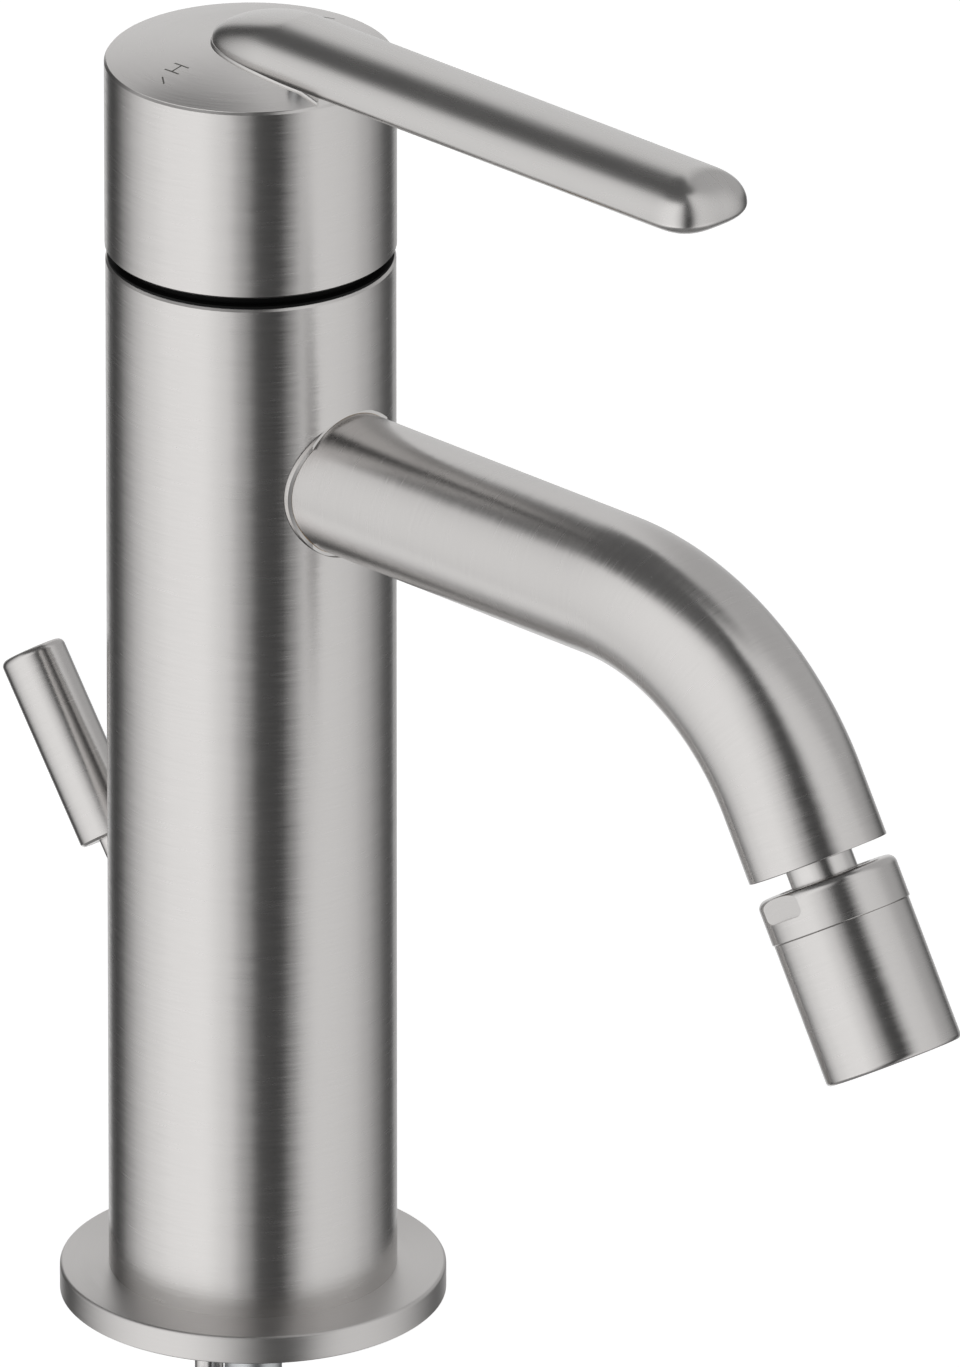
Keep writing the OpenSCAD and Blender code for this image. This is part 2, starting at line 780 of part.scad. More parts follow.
// Oval bar with rolled ends, drawn as rings from its flat lower face up to a narrow ridge
module bar_body() {
    crown_steps = 14;
    belly_steps = 3;
    crown = lever_h - lever_belly;
    tuck = acos(lever_tuck);
    shares = concat(
        [for (k = [belly_steps : -1 : 1]) cos(tuck * k / belly_steps)],
        [for (k = [crown_steps : -1 : 1]) sin(90 * k / crown_steps)]);
    heights = concat(
        [for (k = [belly_steps : -1 : 1]) lever_belly * (1 - sin(tuck * k / belly_steps) / sin(tuck))],
        [for (k = [crown_steps : -1 : 1]) lever_belly + crown * cos(90 * k / crown_steps)]);
    count = len(bar_outline(1));
    rows = len(shares);
    points = [for (k = [0 : rows - 1]) for (p = bar_outline(shares[k])) [p[0], p[1], bar_z + heights[k]]];
    faces = concat(
        [[for (i = [0 : count - 1]) i]],
        [[for (i = [count - 1 : -1 : 0]) (rows - 1) * count + i]],
        [for (k = [0 : rows - 2]) for (i = [0 : count - 1]) let (j = (i + 1) % count)
            [k * count + i, (k + 1) * count + i, (k + 1) * count + j]],
        [for (k = [0 : rows - 2]) for (i = [0 : count - 1]) let (j = (i + 1) % count)
            [k * count + i, (k + 1) * count + j, k * count + j]]);
    polyhedron(points, faces, convexity = 4);
}

// Sphere that the cap's domed top is part of
module dome() {
    translate([0, 0, apex_z - dome_r]) sphere(r = dome_r, $fn = 360);
}

// Foot between the dome and the bar's flat lower face
module bar_foot() {
    intersection() {
        translate([0, 0, rim_z]) linear_extrude(height = bar_z - rim_z + lever_belly / 2)
            polygon(bar_outline(lever_tuck - 2 * foot_inset / lever_w));
        bar(cap_r - cap_bevel, rim_z - over, apex_z);
    }
}

module lever_bar() {
    color(steel) difference() {
        union() {
            bar_body();
            bar_foot();
        }
        dome();
        at_bar_screws() bar(bar_screw_d / 2 + fit, rim_z - over, bar_screw_top + fit);
    }
}

module lever_bar_screws() {
    color(bright) at_bar_screws() difference() {
        union() {
            bar(bar_screw_d / 2, ceiling_z - over, bar_screw_top);
            bar(screw_head_d / 2, ceiling_z - screw_head_h, ceiling_z);
        }
        translate([0, 0, ceiling_z - screw_head_h - over]) cylinder(r = 1.15, h = 1.3 + over, $fn = 6);
    }
}

module lever_set_screw() {
    from = stem_square / 2 + fit;
    color(black) translate([0, from, set_screw_z]) rotate([-90, 0, 0]) difference() {
        cylinder(d = set_screw_d, h = set_screw_h);
        translate([0, 0, set_screw_h - 2.5]) cylinder(r = 1.45, h = 2.5 + over, $fn = 6);
    }
}

module screw_plug() {
    color(bright) intersection() {
        translate([0, cap_in_r - 0.8, set_screw_z]) rotate([-90, 0, 0]) cylinder(d = plug_d, h = cap_wall + 2);
        bar(cap_r, cap_z, rim_z);
    }
}

// The rod's bend is turned around a thin bore, which two cores fill as they tie it to its neighbours
module pull_rod() {
    leg_top = rod_corner_z - rod_tangent;
    core_r = 0.6 * rod_r;
    core_h = rod_tangent + 0.2;
    color(bright) translate([0, rod_leg_y + rod_bend_r, leg_top]) {
        in_side_plane() rotate([0, 0, 180 - rod_tilt]) rotate_extrude(angle = rod_tilt)
            translate([rod_bend_r, 0]) difference() {
                circle(r = rod_r);
                circle(r = 0.1 * rod_r);
            }
        rotate([-rod_tilt, 0, 0]) translate([0, -rod_bend_r, 0]) {
            bar(rod_r, 0, rod_slant + knob_off + knob_bore);
            bar(core_r, -core_h, over);
        }
        translate([0, -rod_bend_r, 0]) {
            bar(rod_r, rod_tip_h - rod_below - leg_top, 0);
            bar(rod_r - rod_tip_step, -rod_below - leg_top, over - leg_top - rod_below + rod_tip_h);
            bar(core_r, -over, core_h);
        }
    }
}

module pull_knob() {
    color(steel) at_rod() difference() {
        rotate_extrude() polygon(concat(
            [[0, knob_off], [knob_d / 2 - 0.2, knob_off], [knob_d / 2, knob_off + 0.2]],
            round_corner(knob_d / 2, knob_off + knob_h, knob_round),
            [[0, knob_off + knob_h]]));
        bar(rod_r + fit, knob_off - over, knob_off + knob_bore + fit);
    }
}

base_flange();
base_gasket();
base_insert();
body_shell();
waterway_body();
spout_collar();
spout_tube();
ball_stem();
cartridge_base();
cartridge_seals();
cartridge_housing();
housing_o_ring();
fixed_ceramic_disc();
retaining_nut();
glide_ring();
rod_guide_bush();
fixing_stud();
clamp_pad();
clamp_plate();
fixing_nut();
ball_cup();
ball_seal();
aerator_ring_nut();
aerator_housing();
aerator_gasket();
aerator_insert();
cartridge_carriage();
pivot_pin();
moving_ceramic_disc();
disc_carrier();
lever_stem();
lever_cap();
lever_bar();
lever_bar_screws();
lever_set_screw();
screw_plug();
pull_rod();
pull_knob();
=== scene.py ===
"""Dresses the bidet mixer: brushed steel outside, a satin lever, engraved hot and cold marks, and the
finishes of the pieces inside it and under the deck, in a light tent with a pale floor.

Lengths are in metres in the object's own frame. The spout points to -Y, the pull rod lies at +Y and the
hot side is at -X. Turned pieces are drawn round their own local Z axis, then placed."""

import json
import math

import bmesh
import bpy
from bpy.props import FloatProperty, FloatVectorProperty, IntProperty, PointerProperty
from bpy.types import Operator, Panel, PropertyGroup
from mathutils import Matrix, Vector


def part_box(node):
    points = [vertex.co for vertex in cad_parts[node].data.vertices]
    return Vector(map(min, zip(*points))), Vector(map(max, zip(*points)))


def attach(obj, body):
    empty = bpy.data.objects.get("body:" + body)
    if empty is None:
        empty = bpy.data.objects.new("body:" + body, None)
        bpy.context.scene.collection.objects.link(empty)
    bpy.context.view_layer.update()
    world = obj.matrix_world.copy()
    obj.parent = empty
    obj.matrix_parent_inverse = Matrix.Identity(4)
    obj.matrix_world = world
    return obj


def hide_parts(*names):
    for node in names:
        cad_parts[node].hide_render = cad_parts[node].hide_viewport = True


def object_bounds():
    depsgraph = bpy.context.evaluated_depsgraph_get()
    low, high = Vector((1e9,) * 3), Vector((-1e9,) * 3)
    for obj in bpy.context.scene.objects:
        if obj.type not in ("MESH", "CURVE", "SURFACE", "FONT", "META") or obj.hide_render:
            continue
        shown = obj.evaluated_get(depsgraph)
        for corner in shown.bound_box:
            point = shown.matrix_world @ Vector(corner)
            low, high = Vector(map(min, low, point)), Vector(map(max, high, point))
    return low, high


bl_info = {
    "name": "Bidet Mixer",
    "version": (1, 0, 0),
    "blender": (4, 5, 0),
    "location": "View3D > Sidebar > Mixer",
    "description": "Dresses a single-lever bidet mixer in brushed steel and lights it",
    "category": "Object",
}

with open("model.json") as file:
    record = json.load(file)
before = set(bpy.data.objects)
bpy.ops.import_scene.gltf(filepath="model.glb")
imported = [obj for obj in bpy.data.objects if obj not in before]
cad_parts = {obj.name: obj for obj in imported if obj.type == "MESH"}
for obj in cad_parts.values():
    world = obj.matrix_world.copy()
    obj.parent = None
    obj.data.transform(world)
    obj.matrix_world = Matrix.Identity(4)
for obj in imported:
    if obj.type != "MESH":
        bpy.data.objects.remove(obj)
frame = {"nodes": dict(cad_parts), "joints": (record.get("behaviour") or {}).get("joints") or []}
cad_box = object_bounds()

MM = 0.001
TURN_STEPS = 192
SMOOTH_LIMIT = math.radians(32.0)
CUT_SMOOTH_LIMIT = math.radians(16.0)


def joint(name):
    """The record's entry for one joint."""
    return next(j for j in frame["joints"] if j["name"] == name)


def facing(origin, axis):
    """Matrix that stands a turned piece at origin with its local Z along axis, turned about X alone."""
    tilt = math.atan2(-axis[1], axis[2])
    return Matrix.Translation(origin) @ Matrix.Rotation(tilt, 4, "X")


SHELL_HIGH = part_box("body_shell")[1]
FLANGE_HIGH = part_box("base_flange")[1]
CAP_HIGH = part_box("lever_cap")[1]
BAR_LOW, BAR_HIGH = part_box("lever_bar")
BALL = Vector(joint("aerator_swivel")["pos_m"])
FLOW = Vector(joint("aerator_swivel")["axis"]).normalized()
ROD_AXIS = Vector(joint("pull_rod_slide")["axis"]).normalized()


def length(name, description, default, low=0.0, high=1.0):
    """A length property in metres."""
    return FloatProperty(name=name, description=description, default=default, min=low, max=high,
                         unit="LENGTH", subtype="DISTANCE", precision=5)


def share(name, description, default):
    """A number from 0 to 1 without a unit, such as a roughness."""
    return FloatProperty(name=name, description=description, default=default, min=0.0, max=1.0,
                         subtype="FACTOR")


def angle(name, description, degrees):
    """An angle property, whose default is given in degrees."""
    return FloatProperty(name=name, description=description, default=math.radians(degrees),
                         unit="ROTATION", subtype="ANGLE")


def power(name, description, default):
    """An exponent of a rounded outline."""
    return FloatProperty(name=name, description=description, default=default, min=1.0, max=8.0)


def tint(name, description, default):
    """A linear colour property."""
    return FloatVectorProperty(name=name, description=description, default=default, size=3, min=0.0,
                               max=1.0, subtype="COLOR")


class MixerFinish(PropertyGroup):
    """Colours and grain of the finishes."""

    steel: tint("Steel", "Colour of the brushed steel", (0.610, 0.5945, 0.584))
    lever_steel: tint("Lever steel", "Colour of the satin lever", (0.600, 0.5870, 0.5765))
    turned: tint("Turned steel", "Colour of the turned steel pieces", (0.640, 0.625, 0.614))
    brass: tint("Brass", "Colour of the machined brass", (0.720, 0.520, 0.250))
    zinc: tint("Zinc", "Colour of the zinc plated steel", (0.560, 0.575, 0.585))
    rubber: tint("Rubber", "Colour of the seals", (0.022, 0.022, 0.023))
    # The same black also colours the sheet of painted shade in the gap under the cap.
    black: tint("Black plastic", "Colour of the rings under the cap and the aerator insert",
                (0.004, 0.004, 0.004))
    pale: tint("Pale plastic", "Colour of the cartridge", (0.790, 0.775, 0.720))
    ceramic: tint("Ceramic", "Colour of the discs", (0.880, 0.870, 0.840))
    engraved: tint("Engraving", "Colour inside the engraved marks", (0.170, 0.165, 0.155))
    steel_rough: share("Steel roughness", "Roughness of the brushed steel", 0.25)
    flange_rough: share("Flange roughness", "Roughness of the flange", 0.37)
    steel_grain: share("Steel anisotropy", "Stretch of reflections along a brushed piece", 0.72)
    lever_rough: share("Lever roughness", "Roughness of the satin lever", 0.27)
    line_pitch: length("Line pitch", "Distance between the brush lines", 0.00032, 0.00005, 0.002)
    line_length: length("Line length", "Length of a brush line", 0.006, 0.001, 0.05)
    line_sway: share("Line sway", "Sideways waver of the surface from line to line", 0.030)
    line_tone: share("Line tone", "Change of tone from line to line", 0.05)


class MixerFlange(PropertyGroup):
    """Sizes of the flange."""

    radius: length("Radius", "Outer radius of the flange", FLANGE_HIGH.x)
    height: length("Height", "Thickness of the flange", FLANGE_HIGH.z)
    hole: length("Hole", "Radius of the hole for the hoses", 0.0175)
    groove_in: length("Groove inside", "Inner radius of the gasket's groove", 0.020)
    groove_out: length("Groove outside", "Outer radius of the gasket's groove", 0.024)
    groove_depth: length("Groove depth", "Depth of the gasket's groove", 0.0015)
    edge: length("Edge", "Radius of the top edge", 0.0005)


class MixerGapShade(PropertyGroup):
    """Sizes of the thin black sheet on the body's top, painted shade that darkens the gap under the cap."""

    inner: length("Inner radius", "Inner radius of the ring", 0.018)
    outer: length("Outer radius", "Outer radius of the ring", 0.01975)
    low: length("Lower face", "Height of the ring's lower face", 0.15502)
    high: length("Upper face", "Height of the ring's upper face", 0.15535)


class MixerSpout(PropertyGroup):
    """Sizes of the bent spout."""

    radius: length("Radius", "Outer radius of the tube", 0.010)
    wall: length("Wall", "Wall of the tube", 0.0012)
    height: length("Height", "Height of the tube's axis", 0.1266)
    root: length("Root", "Distance from the body's axis to the tube's inner end", 0.0146)
    straight: length("Straight", "Distance from the body's axis to the bend", 0.070)
    bend: length("Bend", "Radius of the bend", 0.040)
    end: length("End", "Straight length after the bend", 0.010)
    lip: length("Lip", "Radius of the rounding at the tube's end", 0.0002)


class MixerAerator(PropertyGroup):
    """Sizes of the ring nut and the aerator, measured along the outlet from the ball's centre."""

    nut_top: length("Nut top", "Height of the ring nut's top above the ball's centre", 0.0052)
    nut_foot: length("Nut foot", "Depth of the ring nut's lower edge", 0.0011)
    nut_radius: length("Nut radius", "Radius of the ring nut", 0.010)
    nut_round: length("Nut round", "Radius of the ring nut's top edge", 0.0013)
    nut_mouth: length("Nut mouth", "Radius of the hole for the neck", 0.0066)
    flat_half: length("Flat", "Distance from the axis to a spanner flat", 0.0093)
    flat_height: length("Flat height", "Height of the spanner flats", 0.0035)
    flat_corner: length("Flat corner", "Radius of a flat's lower corners", 0.0009)
    radius: length("Radius", "Radius of the housing", 0.0098)
    height: length("Height", "Height of the housing", 0.0206)
    round: length("Round", "Radius of the housing's lower edge", 0.0006)
    bore: length("Bore", "Bore of the housing", 0.008)
    lip: length("Lip", "Width of the lip that holds the insert", 0.0008)
    lip_height: length("Lip height", "Height of the lip", 0.0009)


class MixerKnob(PropertyGroup):
    """Sizes of the pull knob."""

    rod_height: length("Rod height", "Height at which the rod leaves the body", 0.0488)
    offset: length("Offset", "Distance from the body to the knob along the rod", 0.0132)
    radius: length("Radius", "Radius of the knob", 0.00465)
    height: length("Height", "Height of the knob", 0.0281)
    round: length("Round", "Radius of the knob's top edge", 0.001)
    foot: length("Foot", "Bevel of the knob's lower edge", 0.00035)
    bore: length("Bore", "Radius of the hole for the rod", 0.00205)
    bore_depth: length("Bore depth", "Depth of the hole for the rod", 0.01505)


class MixerLever(PropertyGroup):
    """Sizes of the lever bar."""

    half_width: length("Half width", "Half the width of the bar", BAR_HIGH.x)
    height: length("Height", "Height of the bar", 0.0073)
    belly: length("Belly", "Height of the bar's widest line above its lower face", 0.0019)
    tuck: share("Tuck", "Share of the width that is left at the lower face", 0.77)
    crown_power: power("Crown power", "Fullness of the bar's rounded top", 2.05)
    tip_roll: length("Tip roll", "Length over which the tip rolls down", 0.007)
    tip_power: power("Tip power", "Sharpness of the ridges at the tip's corners", 3.0)
    rear_roll: length("Rear roll", "Length over which the rear end rolls down", 0.014)
    rear_power: power("Rear power", "Sharpness of the ridges at the rear end's corners", 2.4)
    rear_slope: power("Rear slope", "How much faster the rear end shortens than it narrows", 1.6)
    foot_inset: length("Foot inset", "How far the foot stays inside the edge of the lower face", 0.0001)
    seam: length("Seam", "Height of the rounded strip where the lever meets the cap", 0.00055)
    rim: length("Rim", "Radius of the cap's top inside its bevel", 0.0198)
    dome_rise: length("Dome rise", "Rise of the cap's top above its rim", 0.0028)


class MixerMarks(PropertyGroup):
    """Sizes of the engraved hot and cold marks."""

    stroke: length("Stroke", "Width of an engraved stroke", 0.00022)
    letter: length("Letter", "Height of a letter", 0.0027)
    letter_width: length("Letter width", "Width of a letter", 0.0019)
    dash: length("Dash", "Length of the dash beside a letter", 0.0019)
    centre_x: length("Centre", "Distance from the middle plane to a letter", 0.0127)
    centre_y: length("Back", "Distance behind the body's axis", 0.0015)
    dash_x: length("Dash centre", "Distance from the middle plane to a dash", 0.0159)
    dash_y: length("Dash back", "Distance of a dash behind the body's axis", 0.0009)
    dash_turn: angle("Dash turn", "Angle of a dash to the line through the letters", 51.9)


class MixerStudio(PropertyGroup):
    """The camera, the floor and the light tent."""

    azimuth: angle("Azimuth", "Direction of the camera round the mixer", -45.0)
    elevation: angle("Elevation", "Height of the camera above the horizon", 23.2)
    distance: length("Distance", "Distance of the camera from its aim", 6.0, 0.5, 20.0)
    frame_height: length("Frame height", "Height of the picture at the aim", 0.1874)
    aim_y: length("Aim forward", "Distance of the aim in front of the body's axis", 0.0445)
    aim_z: length("Aim height", "Height of the aim", 0.1043)
    floor_gap: length("Floor gap", "Distance from the lowest piece to the floor", 0.001)
    floor_radius: length("Floor radius", "Radius of the floor", 8.0, 0.5, 50.0)
    tent_radius: length("Tent radius", "Radius of the light tent", 40.0, 1.0, 100.0)
    ceiling_rise: angle("Ceiling rise", "Height at which the tent turns dark at the back", 41.0)
    ceiling_front: angle("Ceiling front", "How much higher it turns dark in front", 18.0)
    ceiling_side: angle("Ceiling side", "How much higher it turns dark at the right", 28.0)
    ceiling_fade: angle("Ceiling fade", "Width of the change from light to dark", 15.0)
    ceiling_level: share("Ceiling level", "Brightness of the tent's ceiling", 0.12)
    flag_level: share("Flag level", "Brightness above the low flag behind the mixer's right side", 0.55)
    foot_level: share("Foot level", "Brightness of the tent below the mixer", 0.28)
    tent_steps: IntProperty(name="Tent steps", description="Faces round the tent", default=64, min=12)


# Light tent: angle from the camera's side towards the picture's right, in degrees, and brightness there.
# Two wide soft sides, a narrow black flag before the camera and two black flags behind the mixer.
TENT_BANDS = (
    (-180, 0.85), (-163, 0.75), (-150, 0.12), (-138, 0.06), (-129, 0.12), (-116, 0.44), (-104, 0.74),
    (-88, 0.98), (-66, 1.14), (-40, 1.18), (-20, 0.95), (-6, 0.50), (6, 0.09), (24, 0.06), (32, 0.36),
    (42, 0.78), (52, 0.92), (66, 0.90), (84, 0.84), (104, 0.62), (118, 0.36), (132, 0.13), (146, 0.07),
    (160, 0.50), (180, 0.85),
)

# Spans over which the tent changes. Heights are in degrees above the mixer. The others run from -1 at
# the back or the left to 1 at the front or the right, as the camera sees them.
CEILING_FRONT_SPAN = (-0.3, 0.9)
CEILING_SIDE_SPAN = (-0.35, 0.35)
FLAG_BACK_SPAN = (0.1, -0.35)
FLAG_RIGHT_SPAN = (0.1, 0.4)
FLAG_HEIGHTS = (-16, 8)
GLOW_HEIGHTS = (-24, -38)
FOOT_HEIGHTS = (-58, -43)
LOW_GLOW = 1.2
FLOOR_LIFT = 0.6


def arc(radius, height, round_r, start, end, steps=8):
    """Points of an arc in a profile, round the centre (radius, height), from one angle to another."""
    angles = [math.radians(start + (end - start) * i / steps) for i in range(steps + 1)]
    return [(radius + round_r * math.cos(a), height + round_r * math.sin(a)) for a in angles]


def finished(name, mesh_data):
    """Links a bmesh as a smooth object whose sharp edges stay crisp."""
    bmesh.ops.recalc_face_normals(mesh_data, faces=mesh_data.faces)
    mesh = bpy.data.meshes.new(name)
    mesh_data.to_mesh(mesh)
    mesh_data.free()
    mesh.shade_smooth()
    mesh.set_sharp_from_angle(angle=SMOOTH_LIMIT)
    piece = bpy.data.objects.new(name, mesh)
    bpy.context.scene.collection.objects.link(piece)
    return piece


def bridge(mesh_data, lower, upper):
    """Faces between two rings of vertices, where a ring of one vertex is a pole."""
    count = max(len(lower), len(upper))
    for i in range(count):
        j = (i + 1) % count
        corners = (lower[i % len(lower)], lower[j % len(lower)], upper[j % len(upper)], upper[i % len(upper)])
        mesh_data.faces.new(list(dict.fromkeys(corners)))


def skin(mesh_data, rings, closed=False, ends=False):
    """Faces from ring to ring, then on to the first ring if closed, or over both ends."""
    for lower, upper in zip(rings, rings[1:]):
        bridge(mesh_data, lower, upper)
    if closed:
        bridge(mesh_data, rings[-1], rings[0])
    if ends:
        mesh_data.faces.new(rings[0])
        mesh_data.faces.new(rings[-1])


def heading(path, i):
    """Direction of a path of (x, y) points at its point i."""
    ahead, behind = path[min(i + 1, len(path) - 1)], path[max(i - 1, 0)]
    return Vector((ahead[0] - behind[0], ahead[1] - behind[1])).normalized()


def turned(name, profile, place=None, closed=False):
    """A piece turned round local Z from a profile of (radius, height) points."""
    mesh_data = bmesh.new()
    rings = []
    for radius, height in profile:
        if radius < 1e-9:
            rings.append([mesh_data.verts.new((0, 0, height))])
            continue
        turns = [2 * math.pi * i / TURN_STEPS for i in range(TURN_STEPS)]
        rings.append([mesh_data.verts.new((radius * math.cos(a), radius * math.sin(a), height)) for a in turns])
    skin(mesh_data, rings, closed)
    piece = finished(name, mesh_data)
    if place is not None:
        piece.matrix_world = place
    return piece


def cut(piece, *cutters):
    """Cuts the cutters out of a piece and deletes them."""
    bpy.context.view_layer.update()
    for cutter in cutters:
        modifier = piece.modifiers.new("cut", "BOOLEAN")
        modifier.operation = "DIFFERENCE"
        modifier.solver = "EXACT"
        modifier.object = cutter
        with bpy.context.temp_override(object=piece, active_object=piece):
            bpy.ops.object.modifier_apply(modifier=modifier.name)
        bpy.data.objects.remove(cutter)
    piece.data.shade_smooth()
    piece.data.set_sharp_from_angle(angle=CUT_SMOOTH_LIMIT)


def dress(piece, body, slot_name, material, *nodes):
    """Gives a new piece its material and body, and hides the CAD nodes that it stands for. The slot name is not
    used.
    """
    piece.data.materials.clear()
    piece.data.materials.append(material)
    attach(piece, body)
    if nodes:
        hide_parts(*nodes)


def paint(material, *nodes):
    """Puts a material on CAD nodes."""
    for node in nodes:
        for slot in frame["nodes"][node].material_slots:
            slot.material = material


class Shader:
    """A material with a Principled shader and short ways to add and link nodes."""

    def __init__(self, name):
        self.material = bpy.data.materials.get(name) or bpy.data.materials.new(name)
        self.material.use_nodes = True
        self.tree = self.material.node_tree
        self.tree.nodes.clear()
        self.out = self.tree.nodes.new("ShaderNodeOutputMaterial")
        self.main = self.tree.nodes.new("ShaderNodeBsdfPrincipled")
        self.link(self.main.outputs[0], self.out.inputs["Surface"])

    def link(self, source, target):
        """Links an output to an input."""
        self.tree.links.new(source, target)

    def put(self, socket, value):
        """Sets an input, or links it if the value is another node's output."""
        if isinstance(value, bpy.types.NodeSocket):
            self.link(value, socket)
        else:
            socket.default_value = value

    def set(self, **values):
        """Sets inputs of the Principled shader, with _ for a space in their names."""
        for key, value in values.items():
            self.put(self.main.inputs[key.replace("_", " ")], value)

    def math(self, operation, a, b=0.0, c=0.0):
        """Result of a Math node."""
        node = self.tree.nodes.new("ShaderNodeMath")
        node.operation = operation
        for socket, value in zip(node.inputs, (a, b, c)):
            self.put(socket, value)
        return node.outputs[0]

    def vector(self, operation, a, b=None, scale=None):
        """Result of a Vector Math node."""
        node = self.tree.nodes.new("ShaderNodeVectorMath")
        node.operation = operation
        self.put(node.inputs[0], a)
        if b is not None:
            self.put(node.inputs[1], b)
        if scale is not None:
            self.put(node.inputs["Scale"], scale)
        return node.outputs["Value" if operation in ("LENGTH", "DOT_PRODUCT") else "Vector"]

    def parts(self, vector):
        """The x, y and z of a vector."""
        node = self.tree.nodes.new("ShaderNodeSeparateXYZ")
        self.link(vector, node.inputs[0])
        return node.outputs[:3]

    def joined(self, x, y, z):
        """A vector of three numbers."""
        node = self.tree.nodes.new("ShaderNodeCombineXYZ")
        for socket, value in zip(node.inputs, (x, y, z)):
            self.put(socket, value)
        return node.outputs[0]

    def coords(self):
        """The place in the piece's own frame."""
        return self.tree.nodes.new("ShaderNodeTexCoord").outputs["Object"]

    def attribute(self, name):
        """A vector that is kept in the mesh."""
        node = self.tree.nodes.new("ShaderNodeAttribute")
        node.attribute_name = name
        return node.outputs["Vector"]

    def noise(self, vector, scale, detail=2.0, roughness=0.5):
        """Noise from 0 to 1."""
        node = self.tree.nodes.new("ShaderNodeTexNoise")
        self.link(vector, node.inputs["Vector"])
        node.inputs["Scale"].default_value = scale
        node.inputs["Detail"].default_value = detail
        node.inputs["Roughness"].default_value = roughness
        return node.outputs[0]

    def ramp(self, value, low, high, out_low=0.0, out_high=1.0):
        """Maps a value between two limits smoothly to another range."""
        node = self.tree.nodes.new("ShaderNodeMapRange")
        node.interpolation_type = "SMOOTHSTEP"
        for socket, number in zip(node.inputs, (value, low, high, out_low, out_high)):
            self.put(socket, number)
        return node.outputs[0]

    def mix(self, factor, a, b):
        """Mixes two colours."""
        node = self.tree.nodes.new("ShaderNodeMix")
        node.data_type = "RGBA"
        factor_in, colour_a, colour_b, colour_out = 0, 6, 7, 2
        self.put(node.inputs[factor_in], factor)
        self.put(node.inputs[colour_a], a)
        self.put(node.inputs[colour_b], b)
        return node.outputs[colour_out]

    def shaded(self, colour, tone, spread):
        """The colour, lighter and darker by spread as tone runs from 0 to 1."""
        dark = [c * (1 - spread) for c in colour] + [1.0]
        light = [min(1.0, c * (1 + spread)) for c in colour] + [1.0]
        return self.mix(tone, dark, light)

    def bump(self, height, distance, strength, normal=None):
        """A surface direction roughened by a height."""
        node = self.tree.nodes.new("ShaderNodeBump")
        self.put(node.inputs["Height"], height)
        node.inputs["Strength"].default_value = strength
        node.inputs["Distance"].default_value = distance
        if normal is not None:
            self.put(node.inputs["Normal"], normal)
        return node.outputs[0]

    def to_world(self, vector):
        """A direction of the piece's own frame, as a direction of the world."""
        node = self.tree.nodes.new("ShaderNodeVectorTransform")
        node.vector_type = "VECTOR"
        node.convert_from = "OBJECT"
        node.convert_to = "WORLD"
        self.put(node.inputs[0], vector)
        return node.outputs[0]


def grain(shader, place, axis, finish):
    """Brush lines that run round an axis: tone from line to line, scratches, line direction and normal."""
    on_ends = 1.3
    waver_scale, waver_share = (0.6, 0.6, 0.22), 0.8
    scratch_scale, scratch_share = (0.8, 0.8, 0.7), 0.3
    scratch_from, scratch_to = 0.64, 0.78
    middle = 0.9
    x, y, z = shader.parts(place)
    radius = shader.vector("LENGTH", shader.joined(x, y, 0.0))
    across = shader.math("ADD", z, shader.math("MULTIPLY", radius, on_ends))
    lines = shader.joined(
        shader.math("DIVIDE", x, finish.line_length),
        shader.math("DIVIDE", y, finish.line_length),
        shader.math("DIVIDE", across, finish.line_pitch))
    fine = shader.noise(lines, 1.0, 3.0, 0.6)
    wide = shader.noise(shader.vector("MULTIPLY", lines, waver_scale), 1.0, 1.0)
    short = shader.noise(shader.vector("MULTIPLY", lines, scratch_scale), 1.0, 3.0, 0.65)
    scratch = shader.ramp(short, scratch_from, scratch_to)
    normal = shader.tree.nodes.new("ShaderNodeNewGeometry").outputs["Normal"]
    around = shader.vector("NORMALIZE", shader.vector("CROSS_PRODUCT", shader.to_world(axis), normal))
    sway = shader.math("SUBTRACT", shader.math("ADD", fine, shader.math("MULTIPLY", wide, waver_share)), middle)
    sway = shader.math("ADD", sway, shader.math("MULTIPLY", scratch, scratch_share))
    shift = shader.vector("SCALE", around, scale=shader.math("MULTIPLY", sway, finish.line_sway))
    swayed = shader.vector("NORMALIZE", shader.vector("ADD", normal, shift))
    return fine, scratch, around, swayed


def brushed_steel(finish, name="brushed_steel", place=None, axis=(0.0, 0.0, 1.0), rough=None):
    """Steel brushed round an axis of the piece, so that its reflections stretch along that axis."""
    rough = finish.steel_rough if rough is None else rough
    shader = Shader(name)
    place = place(shader) if place else shader.coords()
    axis = axis(shader) if callable(axis) else axis
    fine, scratch, around, swayed = grain(shader, place, axis, finish)
    tone = shader.math("SUBTRACT", fine, shader.math("MULTIPLY", scratch, 0.12))
    shader.set(
        Metallic=1.0, Anisotropic=finish.steel_grain, Anisotropic_Rotation=0.25, Tangent=around,
        Base_Color=shader.shaded(finish.steel, tone, finish.line_tone),
        Roughness=shader.ramp(fine, 0.2, 0.8, rough - 0.03, rough + 0.03),
        Normal=shader.bump(fine, 0.02 * MM, 0.35, swayed))
    return shader.material


def spout_steel(finish):
    """The spout's brushed steel, whose lines follow the tube round its bend."""
    return brushed_steel(finish, "spout_steel", lambda s: s.attribute("unbent"), lambda s: s.attribute("along"))


def satin_steel(finish):
    """The lever's satin steel, with a fine grain and no direction."""
    shader = Shader("satin_steel")
    place = shader.coords()
    speck = shader.noise(place, 3000.0, 2.0, 0.6)
    cloud = shader.noise(shader.vector("MULTIPLY", place, (3.0, 0.5, 3.0)), 220.0, 2.0)
    shader.set(
        Metallic=1.0, Base_Color=shader.shaded(finish.lever_steel, cloud, 0.03),
        Roughness=shader.ramp(cloud, 0.3, 0.7, finish.lever_rough - 0.015, finish.lever_rough + 0.015),
        Normal=shader.bump(speck, 0.004 * MM, 0.4))
    return shader.material


